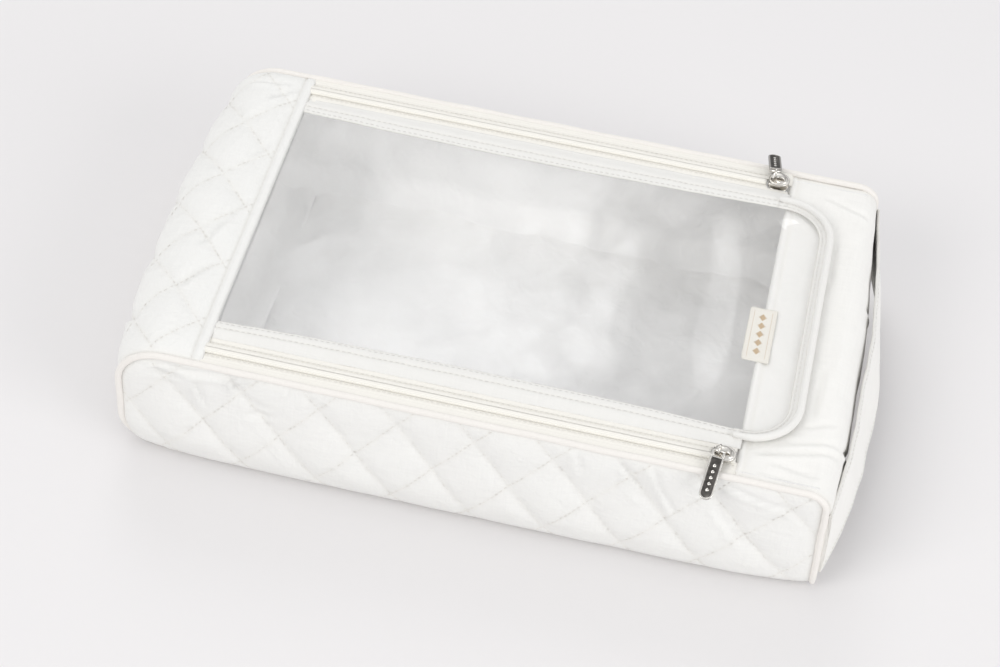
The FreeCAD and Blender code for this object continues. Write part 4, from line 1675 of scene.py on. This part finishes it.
def add_softbox(name, at, size, power, colour=(1, 1, 1)):
    """A square of light turned to the bag."""
    light = bpy.data.lights.new(name, "AREA")
    light.shape = "RECTANGLE"
    light.size, light.size_y = size
    light.energy = power
    light.color = colour
    lamp = bpy.data.objects.new(name, light)
    lamp.location = at
    lamp.rotation_mode = "QUATERNION"
    lamp.rotation_quaternion = (-Vector(at)).to_track_quat("-Z", "Y")
    bpy.context.scene.collection.objects.link(lamp)


def make_stage(settings):
    scene = bpy.context.scene
    bm = bmesh.new()
    bmesh.ops.create_grid(bm, x_segments=8, y_segments=8, size=4.0)
    floor = new_object("floor", bm, "pale paper")
    floor.location.z = -0.0002
    data = bpy.data.cameras.new("camera")
    data.lens = settings.lens
    data.sensor_width = 36.0
    data.clip_start, data.clip_end = 0.01, 50.0
    camera = bpy.data.objects.new("camera", data)
    camera.matrix_world = aim(settings)
    scene.collection.objects.link(camera)
    scene.camera = camera
    add_softbox("key", (-1.3, -1.5, 1.7), (1.2, 1.2), 17.5, (1.0, 0.99, 0.975))
    add_softbox("fill", (1.7, -0.9, 0.9), (1.4, 1.4), 14.0)
    add_softbox("overhead", (-0.35, 1.5, 1.8), (2.8, 2.0), 4.0)
    add_softbox("veil", (-0.62, 1.50, 1.60), (1.0, 1.1), 5.4)
    world = bpy.data.worlds.new("studio")
    world.use_nodes = True
    sky = world.node_tree.nodes["Background"]
    sky.inputs[0].default_value = (0.98, 0.985, 1.0, 1)
    sky.inputs[1].default_value = 0.72
    scene.world = world
    scene.view_settings.view_transform = "Standard"


# ---------------------------------------------------------------- operators

class Builder:
    """What the operators share: each builds its pieces from the scene's settings."""

    def execute(self, context):
        self.build(context.scene)
        return {"FINISHED"}


class SHOEBAG_OT_stage(Builder, bpy.types.Operator):
    """Floor, camera and soft studio light"""
    bl_idname = "shoebag.stage"
    bl_label = "Stage"

    def build(self, scene):
        make_stage(scene.bag_stage)


class SHOEBAG_OT_side_panels(Builder, bpy.types.Operator):
    """Quilted long side panels, front and back"""
    bl_idname = "shoebag.side_panels"
    bl_label = "Side panels"

    def build(self, scene):
        for name, side in SIDES.items():
            make_side_panel(name, side, scene.bag_cloth)


class SHOEBAG_OT_end_pieces(Builder, bpy.types.Operator):
    """Quilted left end, plain right end and quilted base"""
    bl_idname = "shoebag.end_pieces"
    bl_label = "Ends and base"

    def build(self, scene):
        cloth = scene.bag_cloth
        make_left_end(cloth)
        make_right_end(cloth)
        make_base(cloth)


class SHOEBAG_OT_linings(Builder, bpy.types.Operator):
    """Lining inside the base, sides and ends"""
    bl_idname = "shoebag.linings"
    bl_label = "Linings"

    def build(self, scene):
        make_linings()


class SHOEBAG_OT_piping(Builder, bpy.types.Operator):
    """Corded piping round both side panels"""
    bl_idname = "shoebag.piping"
    bl_label = "Piping"

    def build(self, scene):
        for name, side in SIDES.items():
            make_piping(name, side)


class SHOEBAG_OT_zips(Builder, bpy.types.Operator):
    """Zip tapes and coils"""
    bl_idname = "shoebag.zips"
    bl_label = "Zips"

    def build(self, scene):
        for name, side in SIDES.items():
            make_zip(name, side, scene.bag_zips)


class SHOEBAG_OT_lid(Builder, bpy.types.Operator):
    """Clear film, its border strips and the roll round its end"""
    bl_idname = "shoebag.lid"
    bl_label = "Lid"

    def build(self, scene):
        make_film(scene.bag_lid)
        for name, side in SIDES.items():
            make_border(name, side, scene.bag_cloth)
        make_tongue_roll(scene.bag_cloth)


class SHOEBAG_OT_sliders(Builder, bpy.types.Operator):
    """Sliders, link rings and pull tags"""
    bl_idname = "shoebag.sliders"
    bl_label = "Sliders and pulls"

    def build(self, scene):
        for name, side in SIDES.items():
            make_slider(name, side)
            make_ring(name, side)
            make_tag(name, side)


class SHOEBAG_OT_trims(Builder, bpy.types.Operator):
    """Carrying band and woven label"""
    bl_idname = "shoebag.trims"
    bl_label = "Band and label"

    def build(self, scene):
        for name, side in SIDES.items():
            make_band_half(name, side, scene.bag_cloth)
        make_label()


OPERATORS = (
    SHOEBAG_OT_stage,
    SHOEBAG_OT_side_panels,
    SHOEBAG_OT_end_pieces,
    SHOEBAG_OT_linings,
    SHOEBAG_OT_piping,
    SHOEBAG_OT_zips,
    SHOEBAG_OT_lid,
    SHOEBAG_OT_sliders,
    SHOEBAG_OT_trims,
)


class SHOEBAG_PT_panel(bpy.types.Panel):
    """Builds the shoe bag piece by piece"""
    bl_idname = "SHOEBAG_PT_panel"
    bl_label = "Shoe Bag"
    bl_space_type = "VIEW_3D"
    bl_region_type = "UI"
    bl_category = "Shoe Bag"

    def draw(self, context):
        for group_name in SETTINGS:
            settings = getattr(context.scene, group_name)
            box = self.layout.box()
            for key in settings.__annotations__:
                box.prop(settings, key)
        for operator in OPERATORS:
            self.layout.operator(operator.bl_idname)


SETTINGS = {
    "bag_cloth": BagClothSettings,
    "bag_zips": BagZipSettings,
    "bag_lid": BagLidSettings,
    "bag_stage": BagStageSettings,
}


def register():
    for name, settings in SETTINGS.items():
        bpy.utils.register_class(settings)
        setattr(bpy.types.Scene, name, PointerProperty(type=settings))
    for cls in (*OPERATORS, SHOEBAG_PT_panel):
        bpy.utils.register_class(cls)


def unregister():
    for cls in (SHOEBAG_PT_panel, *reversed(OPERATORS)):
        bpy.utils.unregister_class(cls)
    for name, settings in SETTINGS.items():
        delattr(bpy.types.Scene, name)
        bpy.utils.unregister_class(settings)


def main():
    register()
    for operator in OPERATORS:
        getattr(bpy.ops.shoebag, operator.bl_idname.partition(".")[2])()


if __name__ == "__main__":
    main()
